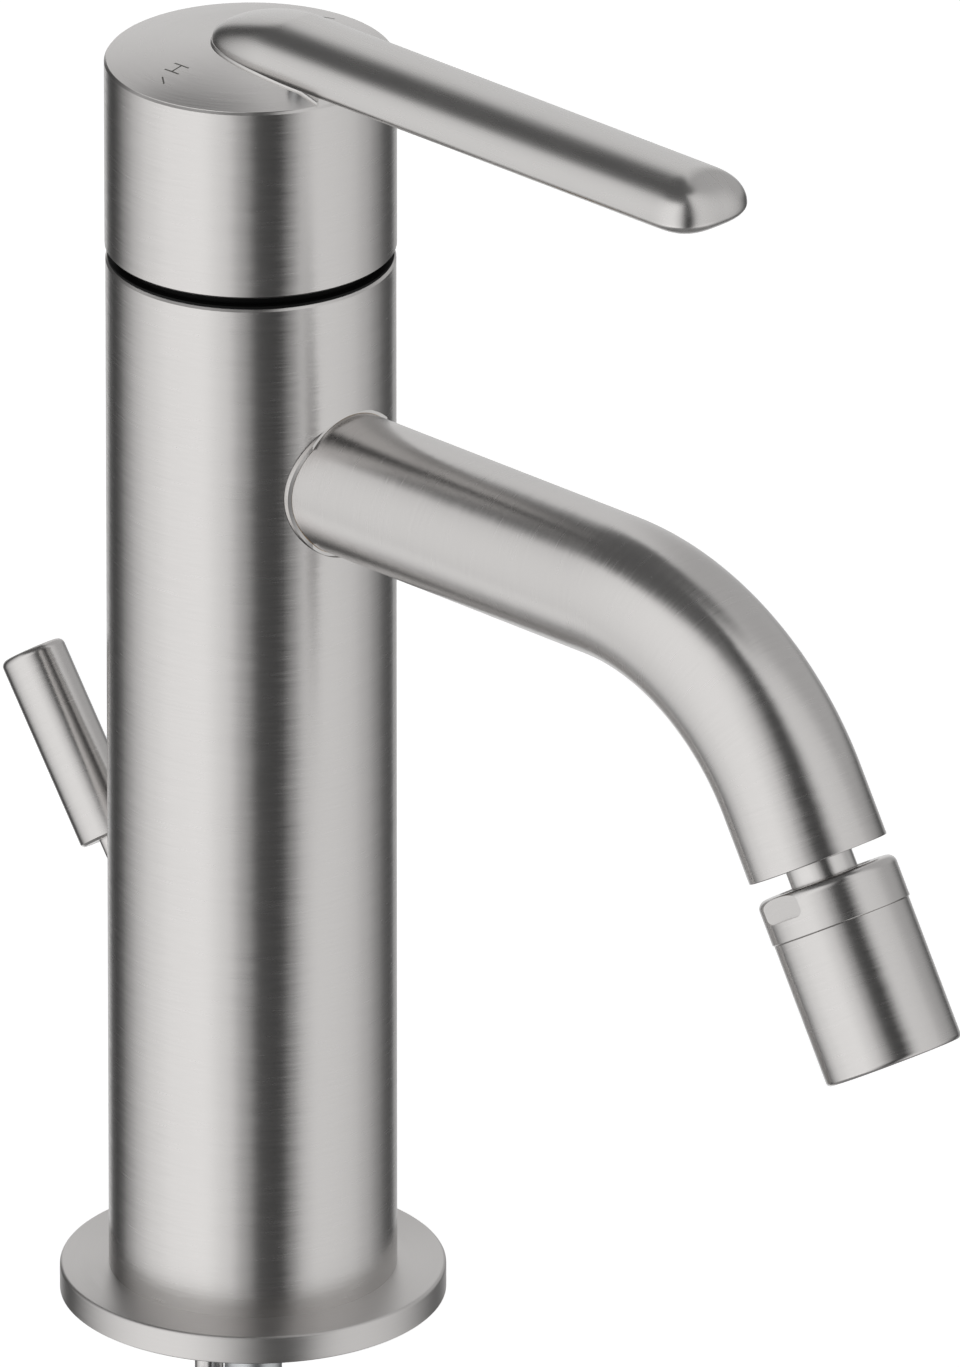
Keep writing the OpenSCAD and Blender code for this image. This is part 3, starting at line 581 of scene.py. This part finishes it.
def machined(name, colour, rough, pitch, depth, spread):
    """Bare metal with fine turning marks round its Z axis and small stains."""
    shader = Shader(name)
    x, y, z = shader.parts(shader.coords())
    radius = shader.vector("LENGTH", shader.joined(x, y, 0.0))
    marks = shader.joined(shader.math("MULTIPLY", x, 60.0), shader.math("MULTIPLY", y, 60.0),
                          shader.math("DIVIDE", shader.math("ADD", z, radius), pitch))
    fine = shader.noise(marks, 1.0, 2.0)
    stain = shader.noise(shader.coords(), 160.0, 3.0)
    tone = shader.math("MULTIPLY", shader.math("ADD", fine, stain), 0.5)
    shader.set(
        Metallic=1.0, Base_Color=shader.shaded(colour, tone, spread),
        Roughness=shader.ramp(stain, 0.3, 0.7, rough - 0.05, rough + 0.05),
        Normal=shader.bump(fine, depth, 0.5))
    return shader.material


def moulded(name, colour, rough, grain_size, depth, spread, coat=0.0, specular=0.5):
    """Plastic, rubber or ceramic with a fine moulded grain."""
    shader = Shader(name)
    place = shader.coords()
    fine = shader.noise(place, 1 / grain_size, 3.0)
    cloud = shader.noise(place, 90.0, 2.0)
    shader.set(
        Metallic=0.0, Coat_Weight=coat, Specular_IOR_Level=specular,
        Base_Color=shader.shaded(colour, cloud, spread),
        Roughness=shader.ramp(fine, 0.3, 0.7, rough - 0.04, rough + 0.04),
        Normal=shader.bump(fine, depth, 0.6))
    return shader.material


def black_plastic(finish):
    """The dull black plastic of the glide ring under the cap and the aerator insert, also laid as painted shade in
    the gap under the cap.
    """
    return moulded("black_plastic", finish.black, 0.5, 0.0003, 0.01 * MM, 0.2, specular=0.12)


def engraved(finish):
    """The dull floor of an engraved stroke."""
    shader = Shader("engraved")
    fine = shader.noise(shader.coords(), 5000.0, 2.0)
    shader.set(
        Metallic=0.7, Base_Color=shader.shaded(finish.engraved, fine, 0.15),
        Roughness=shader.ramp(fine, 0.3, 0.7, 0.45, 0.6), Normal=shader.bump(fine, 0.01 * MM, 0.5))
    return shader.material


class MIXER_OT_flange(Operator):
    """Turns the flange, with its rounded edge and the gasket's groove"""

    bl_idname = "mixer.flange"
    bl_label = "Flange"

    def execute(self, context):
        size = context.scene.mixer_flange
        finish = context.scene.mixer_finish
        small = 0.15 * MM
        profile = [
            (size.hole, 0), (size.groove_in, 0), (size.groove_in, size.groove_depth),
            (size.groove_out, size.groove_depth), (size.groove_out, 0), (size.radius - small, 0),
            (size.radius, small)]
        profile += arc(size.radius - size.edge, size.height - size.edge, size.edge, 0, 90)
        profile += [(size.hole, size.height)]
        flange = turned("flange", profile, closed=True)
        dress(flange, "mixer_body", "brushed_steel",
              brushed_steel(finish, "flange_steel", rough=finish.flange_rough), "base_flange")
        return {"FINISHED"}


class MIXER_OT_body(Operator):
    """Finishes the body tube and the cap in brushed steel and lays a thin black sheet of painted shade in the gap
    between them
    """

    bl_idname = "mixer.body"
    bl_label = "Body and cap"

    def execute(self, context):
        size = context.scene.mixer_gap
        finish = context.scene.mixer_finish
        paint(brushed_steel(finish), "body_shell", "lever_cap")
        # The thin black sheet is painted shade: it makes the gap under the cap read black.
        profile = [(size.inner, size.low), (size.outer, size.low), (size.outer, size.high), (size.inner, size.high)]
        dress(turned("gap_shade_sheet", profile, closed=True), "mixer_body", "black_plastic", black_plastic(finish))
        return {"FINISHED"}


def spout_stations(size):
    """Points along the spout's axis: place, direction of the tube and length so far."""
    bend_steps = 64
    stations = [(Vector((0, -size.root, size.height)), Vector((0, -1, 0)), 0.0)]
    start = size.straight - size.root
    turn = math.atan2(-FLOW.z, -FLOW.y)
    centre = Vector((0, -size.straight, size.height - size.bend))
    for i in range(bend_steps + 1):
        a = turn * i / bend_steps
        outward = Vector((0, -math.sin(a), math.cos(a)))
        stations.append((centre + size.bend * outward, Vector((0, -math.cos(a), -math.sin(a))),
                         start + size.bend * a))
    place, along, run = stations[-1]
    stations.append((place + size.end * along, along, run + size.end))
    return stations


class MIXER_OT_spout(Operator):
    """Sweeps the spout's tube along its bend"""

    bl_idname = "mixer.spout"
    bl_label = "Spout"

    def execute(self, context):
        size = context.scene.mixer_spout
        finish = context.scene.mixer_finish
        stations = spout_stations(size)
        last_place, last_along, last_run = stations[-1]
        shell = [(place, along, run, size.radius) for place, along, run in stations[:-1]]
        for radius, back in arc(size.radius - size.lip, 0, size.lip, 0, 90, 4):
            drop = size.lip - back
            shell.append((last_place - drop * last_along, last_along, last_run - drop, radius))
        inner = size.radius - size.wall
        shell += [(place, along, run, inner) for place, along, run in reversed(stations)]
        mesh_data = bmesh.new()
        unbent = mesh_data.verts.layers.float_vector.new("unbent")
        toward = mesh_data.verts.layers.float_vector.new("along")
        rings = []
        side = Vector((1, 0, 0))
        for place, along, run, radius in shell:
            up = side.cross(along).normalized()
            ring = []
            for i in range(TURN_STEPS):
                a = 2 * math.pi * i / TURN_STEPS
                vertex = mesh_data.verts.new(place + radius * (math.cos(a) * side + math.sin(a) * up))
                vertex[unbent] = Vector((radius * math.cos(a), radius * math.sin(a), run))
                vertex[toward] = along
                ring.append(vertex)
            rings.append(ring)
        skin(mesh_data, rings, closed=True)
        spout = finished("spout", mesh_data)
        dress(spout, "mixer_body", "brushed_steel", spout_steel(finish), "spout_tube")
        spout.visible_glossy = False
        return {"FINISHED"}


class MIXER_OT_aerator(Operator):
    """Turns the ring nut with its spanner flats and the aerator's housing"""

    bl_idname = "mixer.aerator"
    bl_label = "Ring nut and aerator"

    def execute(self, context):
        size = context.scene.mixer_aerator
        finish = context.scene.mixer_finish
        place = facing(BALL, -FLOW)
        small = 0.1 * MM
        thread = size.radius - 0.75 * MM
        nut_profile = [(size.nut_mouth, size.nut_top - size.nut_round), (thread, -size.nut_foot),
                       (size.nut_radius - small, -size.nut_foot), (size.nut_radius, small - size.nut_foot)]
        nut_profile += arc(size.nut_radius - size.nut_round, size.nut_top - size.nut_round, size.nut_round,
                           0, 90, 10)
        nut_profile += [(size.nut_mouth, size.nut_top)]
        nut = turned("ring_nut", nut_profile, place, closed=True)
        cut(nut, *[self.flat_cutter(size, place, side) for side in (-1, 1)])
        dress(nut, "aerator", "brushed_steel", brushed_steel(finish), "aerator_ring_nut")
        foot = -size.nut_foot - size.height
        housing_profile = [
            (size.bore, foot + size.lip_height), (size.bore, -size.nut_foot + small),
            (thread - small, -size.nut_foot + small), (thread - small, -size.nut_foot),
            (size.radius - small, -size.nut_foot), (size.radius, -size.nut_foot - small)]
        housing_profile += arc(size.radius - size.round, foot + size.round, size.round, 0, -90)
        housing_profile += [(size.bore - size.lip, foot), (size.bore - size.lip, foot + size.lip_height)]
        housing = turned("aerator_shell", housing_profile, place, closed=True)
        dress(housing, "aerator", "brushed_steel", brushed_steel(finish), "aerator_housing")
        return {"FINISHED"}

    def flat_cutter(self, size, place, side):
        """A block with rounded lower corners that cuts one spanner flat."""
        half = size.nut_radius
        reach = 4 * MM
        low = size.nut_top - size.flat_height
        high = size.nut_top + reach
        width = math.sqrt(half * half - size.flat_half * size.flat_half)
        corner = size.flat_corner
        bend = arc(width - corner, low + corner, corner, 0, -90)
        outline = [(width + reach, high), (width + reach, low + 2 * corner), (width, low + 2 * corner)] + bend
        outline += [(-y, z) for y, z in reversed(outline)]
        mesh_data = bmesh.new()
        loops = []
        for depth in (size.flat_half, size.flat_half + reach):
            loops.append([mesh_data.verts.new((side * depth, y, z)) for y, z in outline])
        skin(mesh_data, loops, ends=True)
        cutter = finished("flat_cutter", mesh_data)
        cutter.matrix_world = place
        return cutter


class MIXER_OT_knob(Operator):
    """Turns the pull knob"""

    bl_idname = "mixer.knob"
    bl_label = "Pull knob"

    def execute(self, context):
        size = context.scene.mixer_knob
        origin = Vector((0, SHELL_HIGH.x, size.rod_height))
        low = size.offset
        high = size.offset + size.height
        profile = [(0, low + size.bore_depth), (size.bore, low + size.bore_depth), (size.bore, low),
                   (size.radius - size.foot, low), (size.radius, low + size.foot)]
        profile += arc(size.radius - size.round, high - size.round, size.round, 0, 90)
        profile += [(0, high)]
        knob = turned("knob", profile, facing(origin, ROD_AXIS))
        dress(knob, "waste_rod", "brushed_steel", brushed_steel(context.scene.mixer_finish), "pull_knob")
        return {"FINISHED"}


def dome_height(size, x, y):
    """Height of the cap's domed top over a point."""
    radius = (CAP_HIGH.x ** 2 + size.dome_rise ** 2) / (2 * size.dome_rise)
    return CAP_HIGH.z - radius + math.sqrt(radius * radius - x * x - y * y)


def bar_floor(size):
    """Height of the bar's lower face."""
    return BAR_HIGH.z - size.height


def rear_start(size):
    """Place along Y where the bar's rear end starts to round off."""
    return BAR_HIGH.y - size.rear_roll


def rear_point(size, share_in, turn):
    """Point of the bar's rear end at an angle from its side, drawn in towards the middle line by a share."""
    roll = size.rear_roll * share_in ** (size.rear_slope - 1)
    return end_point(size, share_in, turn, roll, size.rear_power, rear_start(size))


def end_point(size, share_in, turn, roll, exponent, centre_y):
    """Point of a rolled end's outline."""
    wide = (abs(math.cos(turn)) / size.half_width) ** exponent
    deep = (abs(math.sin(turn)) / roll) ** exponent
    reach = share_in * (wide + deep) ** (-1 / exponent)
    return reach * math.cos(turn), centre_y + reach * math.sin(turn)


def bar_outline(size, share_in):
    """Outline of the bar, drawn in towards its middle line by a share."""
    steps = 72
    points = [rear_point(size, share_in, math.pi * i / steps) for i in range(steps + 1)]
    for i in range(steps + 1):
        points.append(end_point(size, share_in, math.pi * (1 + i / steps), size.tip_roll, size.tip_power,
                                BAR_LOW.y + size.tip_roll))
    return points


def belly_share(size, height):
    """Share of the bar's width at a height above its lower face, below the widest line."""
    curl = size.belly / math.sqrt(1 - size.tuck ** 2)
    drop = max(0.0, size.belly - height) / curl
    return max(size.tuck, math.sqrt(max(0.0, 1 - drop * drop)))


class MIXER_OT_lever(Operator):
    """Models the lever bar with its rolled ends and the foot and seam that join it to the cap"""

    bl_idname = "mixer.lever"
    bl_label = "Lever"

    def execute(self, context):
        size = context.scene.mixer_lever
        bar = self.bar(size)
        parts = [bar, self.foot(size), self.seam(size)]
        with bpy.context.temp_override(active_object=bar, selected_editable_objects=parts):
            bpy.ops.object.join()
        dress(bar, "lever", "brushed_steel", satin_steel(context.scene.mixer_finish), "lever_bar")
        bar.visible_glossy = False
        return {"FINISHED"}

    def bar(self, size):
        """The oval bar, as rings from its flat lower face up to a narrow ridge."""
        belly_rows, crown_rows = 12, 40
        low = bar_floor(size)
        crown = size.height - size.belly
        tuck = math.acos(size.tuck)
        levels = []
        for k in range(belly_rows, 0, -1):
            a = tuck * k / belly_rows
            levels.append((math.cos(a), size.belly * (1 - math.sin(a) / math.sin(tuck))))
        for k in range(crown_rows, 0, -1):
            a = math.pi / 2 * k / crown_rows
            levels.append((math.sin(a) ** (2 / size.crown_power),
                           size.belly + crown * math.cos(a) ** (2 / size.crown_power)))
        mesh_data = bmesh.new()
        rings = []
        for share_in, height in levels:
            rings.append([mesh_data.verts.new((x, y, low + height)) for x, y in bar_outline(size, share_in)])
        skin(mesh_data, rings, ends=True)
        return finished("lever_handle", mesh_data)

    def contact_point(self, size, side, at, share_in):
        """Point of the bar's side, or of its rear end where side is 0."""
        if side:
            return side * share_in * size.half_width, at
        return rear_point(size, share_in, at)

    def contact(self, size, lift):
        """Line on the cap where the bar or its foot comes down, from the rim round the rear to the rim."""
        side_steps, rear_steps, tries = 16, 64, 6
        low = bar_floor(size)
        rear = rear_start(size)
        front = -math.sqrt(size.rim ** 2 - (size.tuck * size.half_width) ** 2)
        places = [(1, front + (rear - front) * i / side_steps) for i in range(side_steps)]
        places += [(0, math.pi * i / rear_steps) for i in range(rear_steps + 1)]
        places += [(-1, rear + (front - rear) * i / side_steps) for i in range(1, side_steps + 1)]
        path = []
        for side, at in places:
            share_in = 0.9
            for _ in range(tries):
                x, y = self.contact_point(size, side, at, share_in)
                share_in = belly_share(size, dome_height(size, x, y) + lift - low)
            path.append(self.contact_point(size, side, at, share_in))
        return path

    def foot(self, size):
        """The wall between the bar's lower face and the dome, cut off at the cap's rim."""
        sunk = 0.2 * MM
        edge = size.tuck * size.half_width - size.foot_inset
        front = math.sqrt(size.rim ** 2 - edge ** 2)
        rear = rear_start(size)
        rows, rear_steps, rim_steps = 16, 48, 12
        outline = [(edge, rear - (front + rear) * (1 - i / rows)) for i in range(rows)]
        outline += [rear_point(size, edge / size.half_width, math.pi * i / rear_steps)
                    for i in range(rear_steps + 1)]
        outline += [(-edge, rear - (front + rear) * i / rows) for i in range(1, rows + 1)]
        turn = math.asin(edge / size.rim)
        outline += [(size.rim * math.sin(turn * k / rim_steps), -size.rim * math.cos(turn * k / rim_steps))
                    for k in range(1 - rim_steps, rim_steps)]
        mesh_data = bmesh.new()
        bottom = [mesh_data.verts.new((x, y, dome_height(size, x, y) - sunk)) for x, y in outline]
        top = [mesh_data.verts.new((x, y, bar_floor(size) + size.belly / 2)) for x, y in outline]
        skin(mesh_data, [bottom, top], ends=True)
        return finished("lever_foot", mesh_data)

    def seam(self, size):
        """The thin rounded strip along the line where the lever meets the cap."""
        path = self.contact(size, size.seam / 2)
        high, out, sunk = size.seam, size.seam * 0.55, 0.2 * MM
        profile = [(-out, -sunk), (-out, high), (0.0, high), (out * 0.5, high * 0.93),
                   (out * 0.85, high * 0.7), (out, high * 0.35), (out, -sunk)]
        mesh_data = bmesh.new()
        rings = []
        for i, (x, y) in enumerate(path):
            run = heading(path, i)
            ring = []
            for shift, up in profile:
                px, py = x + run.y * shift, y - run.x * shift
                ring.append(mesh_data.verts.new((px, py, dome_height(size, px, py) + up)))
            rings.append(ring)
        skin(mesh_data, rings, ends=True)
        return finished("lever_seam", mesh_data)


class MIXER_OT_marks(Operator):
    """Engraves the hot and cold letters and their dashes in the cap's top"""

    bl_idname = "mixer.marks"
    bl_label = "Hot and cold marks"

    def execute(self, context):
        size = context.scene.mixer_marks
        half, wide = size.letter / 2, size.letter_width / 2
        hot = [[(-wide, -half), (-wide, half)], [(wide, -half), (wide, half)], [(-wide, 0), (wide, 0)]]
        cold = [[(wide * x, half * y) for x, y in arc(0, 0, 1, 50, 310, 24)]]
        for name, side, letter in (("hot_mark", -1, hot), ("cold_mark", 1, cold)):
            strokes = [[(side * size.centre_x + x, size.centre_y + y) for x, y in line] for line in letter]
            dash_x = side * size.dash_x
            run = side * math.cos(size.dash_turn) * size.dash / 2, -math.sin(size.dash_turn) * size.dash / 2
            strokes.append([(dash_x - run[0], size.dash_y - run[1]), (dash_x + run[0], size.dash_y + run[1])])
            mark = self.engrave(name, strokes, size.stroke, context.scene.mixer_lever)
            dress(mark, "lever", "brushed_steel", engraved(context.scene.mixer_finish))
        return {"FINISHED"}

    def engrave(self, name, strokes, width, lever):
        """Thin inlays that follow the dome along each stroke."""
        proud, sunk = 0.012 * MM, 0.08 * MM
        pieces = 8
        mesh_data = bmesh.new()
        for stroke in strokes:
            path = []
            for (x0, y0), (x1, y1) in zip(stroke, stroke[1:]):
                count = pieces if len(stroke) == 2 else 1
                path += [(x0 + (x1 - x0) * k / count, y0 + (y1 - y0) * k / count) for k in range(count)]
            path.append(stroke[-1])
            rings = []
            for i, (x, y) in enumerate(path):
                run = heading(path, i) * width / 2
                sides = ((x - run.y, y + run.x), (x + run.y, y - run.x))
                corners = [(px, py, dome_height(lever, px, py) + up)
                           for (px, py), up in ((sides[0], -sunk), (sides[0], proud), (sides[1], proud),
                                                (sides[1], -sunk))]
                rings.append([mesh_data.verts.new(c) for c in corners])
            skin(mesh_data, rings, ends=True)
        return finished(name, mesh_data)


class MIXER_OT_small_parts(Operator):
    """Finishes the neck, the rod, the collar, the seals, the cartridge and the deck fixing"""

    bl_idname = "mixer.small_parts"
    bl_label = "Small parts"

    def execute(self, context):
        finish = context.scene.mixer_finish
        paint(machined("turned_steel", finish.turned, 0.2, 0.0002, 0.01 * MM, 0.03),
              "ball_stem", "pull_rod", "rod_guide_bush", "screw_plug", "spout_collar", "pivot_pin",
              "lever_stem")
        paint(machined("raw_brass", finish.brass, 0.3, 0.0003, 0.02 * MM, 0.12),
              "base_insert", "waterway_body", "retaining_nut", "fixing_nut")
        paint(machined("zinc_steel", finish.zinc, 0.34, 0.0004, 0.015 * MM, 0.08),
              "fixing_stud", "clamp_plate", "lever_bar_screws", "lever_set_screw")
        paint(moulded("black_rubber", finish.rubber, 0.6, 0.0002, 0.02 * MM, 0.2),
              "base_gasket", "clamp_pad", "cartridge_seals", "housing_o_ring", "ball_seal", "aerator_gasket")
        paint(black_plastic(finish), "glide_ring", "aerator_insert")
        paint(moulded("pale_plastic", finish.pale, 0.42, 0.0003, 0.01 * MM, 0.04),
              "cartridge_base", "cartridge_housing", "cartridge_carriage", "disc_carrier", "ball_cup")
        paint(moulded("white_ceramic", finish.ceramic, 0.16, 0.00005, 0.002 * MM, 0.02, 0.4),
              "fixed_ceramic_disc", "moving_ceramic_disc")
        return {"FINISHED"}


def tent_light(studio):
    """Emission whose brightness follows the bands round the mixer and dims towards the ceiling."""
    shader = Shader("tent_light")
    x, y, z = shader.parts(shader.coords())
    camera_turn = math.atan2(-math.cos(studio.azimuth), math.sin(studio.azimuth))
    turn = shader.math("ARCTAN2", y, x)
    around = shader.math("FRACT", shader.math("ADD", shader.math(
        "DIVIDE", shader.math("SUBTRACT", turn, camera_turn), 2 * math.pi), 2.5))
    bands = shader.tree.nodes.new("ShaderNodeValToRGB")
    bands.color_ramp.interpolation = "EASE"
    stops = bands.color_ramp.elements
    while len(stops) > 1:
        stops.remove(stops[-1])
    for i, (degrees, level) in enumerate(TENT_BANDS):
        place = (degrees + 180) / 360
        stop = stops[0] if i == 0 else stops.new(place)
        stop.position = place
        stop.color = (level, level, level, 1.0)
    shader.link(around, bands.inputs[0])
    flat = shader.joined(x, y, 0.0)
    reach = shader.vector("LENGTH", flat)
    rise = shader.math("ARCTAN2", z, reach)
    sin_turn, cos_turn = math.sin(studio.azimuth), math.cos(studio.azimuth)
    front = shader.math("DIVIDE", shader.vector("DOT_PRODUCT", flat, (sin_turn, -cos_turn, 0.0)), reach)
    right = shader.math("DIVIDE", shader.vector("DOT_PRODUCT", flat, (cos_turn, sin_turn, 0.0)), reach)
    edge = shader.math(
        "MULTIPLY_ADD", shader.ramp(front, *CEILING_FRONT_SPAN), studio.ceiling_front, studio.ceiling_rise)
    edge = shader.math("MULTIPLY_ADD", shader.ramp(right, *CEILING_SIDE_SPAN), studio.ceiling_side, edge)
    behind = shader.math("MULTIPLY", shader.ramp(front, *FLAG_BACK_SPAN), shader.ramp(right, *FLAG_RIGHT_SPAN))
    open_flag = shader.math("MULTIPLY", behind, shader.ramp(rise, *map(math.radians, FLAG_HEIGHTS)))
    lift = shader.math("MULTIPLY", open_flag, studio.flag_level)
    wall = shader.math("MAXIMUM", bands.outputs[0], lift)
    low_glow = shader.ramp(rise, *map(math.radians, GLOW_HEIGHTS), 1.0, LOW_GLOW)
    wall = shader.math("MULTIPLY", wall, low_glow)
    half_fade = studio.ceiling_fade / 2
    ceiling = shader.ramp(shader.math("SUBTRACT", rise, edge), -half_fade, half_fade)
    foot = shader.ramp(rise, *map(math.radians, FOOT_HEIGHTS), 1.0, 0.0)
    colour = shader.mix(ceiling, shader.joined(wall, wall, wall), [studio.ceiling_level] * 3 + [1.0])
    colour = shader.mix(foot, colour, [studio.foot_level] * 3 + [1.0])
    glow = shader.tree.nodes.new("ShaderNodeEmission")
    shader.link(colour, glow.inputs["Color"])
    shader.link(glow.outputs[0], shader.out.inputs["Surface"])
    shader.tree.nodes.remove(shader.main)
    return shader.material


def floor_paint():
    """White floor that keeps shadows and is lifted to the background's white where it is seen directly."""
    shader = Shader("floor_paint")
    cloud = shader.noise(shader.coords(), 3.0, 2.0)
    shader.set(Base_Color=shader.shaded((0.86, 0.86, 0.86), cloud, 0.004), Roughness=0.7)
    paths = shader.tree.nodes.new("ShaderNodeLightPath")
    seen = shader.math("MAXIMUM", paths.outputs["Is Camera Ray"], shader.math(
        "MAXIMUM", paths.outputs["Is Glossy Ray"], paths.outputs["Is Transmission Ray"]))
    shader.set(Emission_Color=(1.0, 1.0, 1.0, 1.0), Emission_Strength=shader.math("MULTIPLY", seen, FLOOR_LIFT))
    return shader.material


class MIXER_OT_studio(Operator):
    """Sets up the floor, the light tent, the white background and the camera"""

    bl_idname = "mixer.studio"
    bl_label = "Studio"

    def execute(self, context):
        studio = context.scene.mixer_studio
        self.floor(studio)
        self.tent(studio)
        self.background(context.scene)
        self.camera(context.scene, studio)
        context.scene.view_settings.view_transform = "Standard"
        return {"FINISHED"}

    def floor(self, studio):
        """The round floor under the lowest piece."""
        mesh_data = bmesh.new()
        bmesh.ops.create_circle(mesh_data, cap_ends=True, segments=128, radius=studio.floor_radius)
        floor = finished("floor", mesh_data)
        floor.location.z = cad_box[0].z - studio.floor_gap
        floor.data.materials.append(floor_paint())
        floor.visible_glossy = False

    def tent(self, studio):
        """The light tent, a sphere that only the object sees."""
        mesh_data = bmesh.new()
        bmesh.ops.create_uvsphere(mesh_data, u_segments=studio.tent_steps, v_segments=studio.tent_steps // 2,
                                  radius=studio.tent_radius)
        tent = finished("light_tent", mesh_data)
        tent.location.z = studio.aim_z
        tent.data.materials.append(tent_light(studio))
        tent.visible_camera = False
        tent.visible_shadow = False

    def background(self, scene):
        """The white world behind the tent."""
        world = bpy.data.worlds.new("white_room")
        world.use_nodes = True
        background = world.node_tree.nodes["Background"]
        background.inputs["Color"].default_value = (1.0, 1.0, 1.0, 1.0)
        background.inputs["Strength"].default_value = 1.0
        scene.world = world

    def camera(self, scene, studio):
        """The camera, aimed at the mixer from the studio's angles."""
        a, e = studio.azimuth, studio.elevation
        back = Vector((math.sin(a) * math.cos(e), -math.cos(a) * math.cos(e), math.sin(e)))
        aim = Vector((0, -studio.aim_y, studio.aim_z))
        data = bpy.data.cameras.new("camera")
        data.sensor_fit = "AUTO"
        data.sensor_width = 36.0
        data.lens = data.sensor_width * studio.distance / studio.frame_height
        data.clip_start = 0.1
        data.clip_end = 200.0
        camera = bpy.data.objects.new("camera", data)
        camera.location = aim + studio.distance * back
        camera.rotation_mode = "QUATERNION"
        camera.rotation_quaternion = (-back).to_track_quat("-Z", "Y")
        scene.collection.objects.link(camera)
        scene.camera = camera


class MIXER_PT_panel(Panel):
    """Lists the mixer's pieces in the 3D view's sidebar"""

    bl_label = "Bidet Mixer"
    bl_idname = "MIXER_PT_panel"
    bl_space_type = "VIEW_3D"
    bl_region_type = "UI"
    bl_category = "Mixer"

    def draw(self, context):
        for operator in PIECE_OPERATORS:
            self.layout.operator(operator.bl_idname)
        for name in GROUPS:
            group = getattr(context.scene, name)
            box = self.layout.box()
            box.label(text=name.replace("mixer_", "").capitalize())
            for key in group.bl_rna.properties.keys():
                if key not in ("rna_type", "name"):
                    box.prop(group, key)


PIECE_OPERATORS = (
    MIXER_OT_flange, MIXER_OT_body, MIXER_OT_spout, MIXER_OT_aerator, MIXER_OT_knob, MIXER_OT_lever,
    MIXER_OT_marks, MIXER_OT_small_parts, MIXER_OT_studio)
GROUPS = {
    "mixer_finish": MixerFinish, "mixer_flange": MixerFlange, "mixer_gap": MixerGapShade, "mixer_spout": MixerSpout,
    "mixer_aerator": MixerAerator, "mixer_knob": MixerKnob, "mixer_lever": MixerLever,
    "mixer_marks": MixerMarks, "mixer_studio": MixerStudio}
CLASSES = tuple(GROUPS.values()) + PIECE_OPERATORS + (MIXER_PT_panel,)


def register():
    for cls in CLASSES:
        bpy.utils.register_class(cls)
    for name, group in GROUPS.items():
        setattr(bpy.types.Scene, name, PointerProperty(type=group))


def unregister():
    for name in GROUPS:
        delattr(bpy.types.Scene, name)
    for cls in reversed(CLASSES):
        bpy.utils.unregister_class(cls)


def main():
    register()
    bpy.ops.mixer.flange()
    bpy.ops.mixer.body()
    bpy.ops.mixer.spout()
    bpy.ops.mixer.aerator()
    bpy.ops.mixer.knob()
    bpy.ops.mixer.lever()
    bpy.ops.mixer.marks()
    bpy.ops.mixer.small_parts()
    bpy.ops.mixer.studio()


if __name__ == "__main__":
    main()
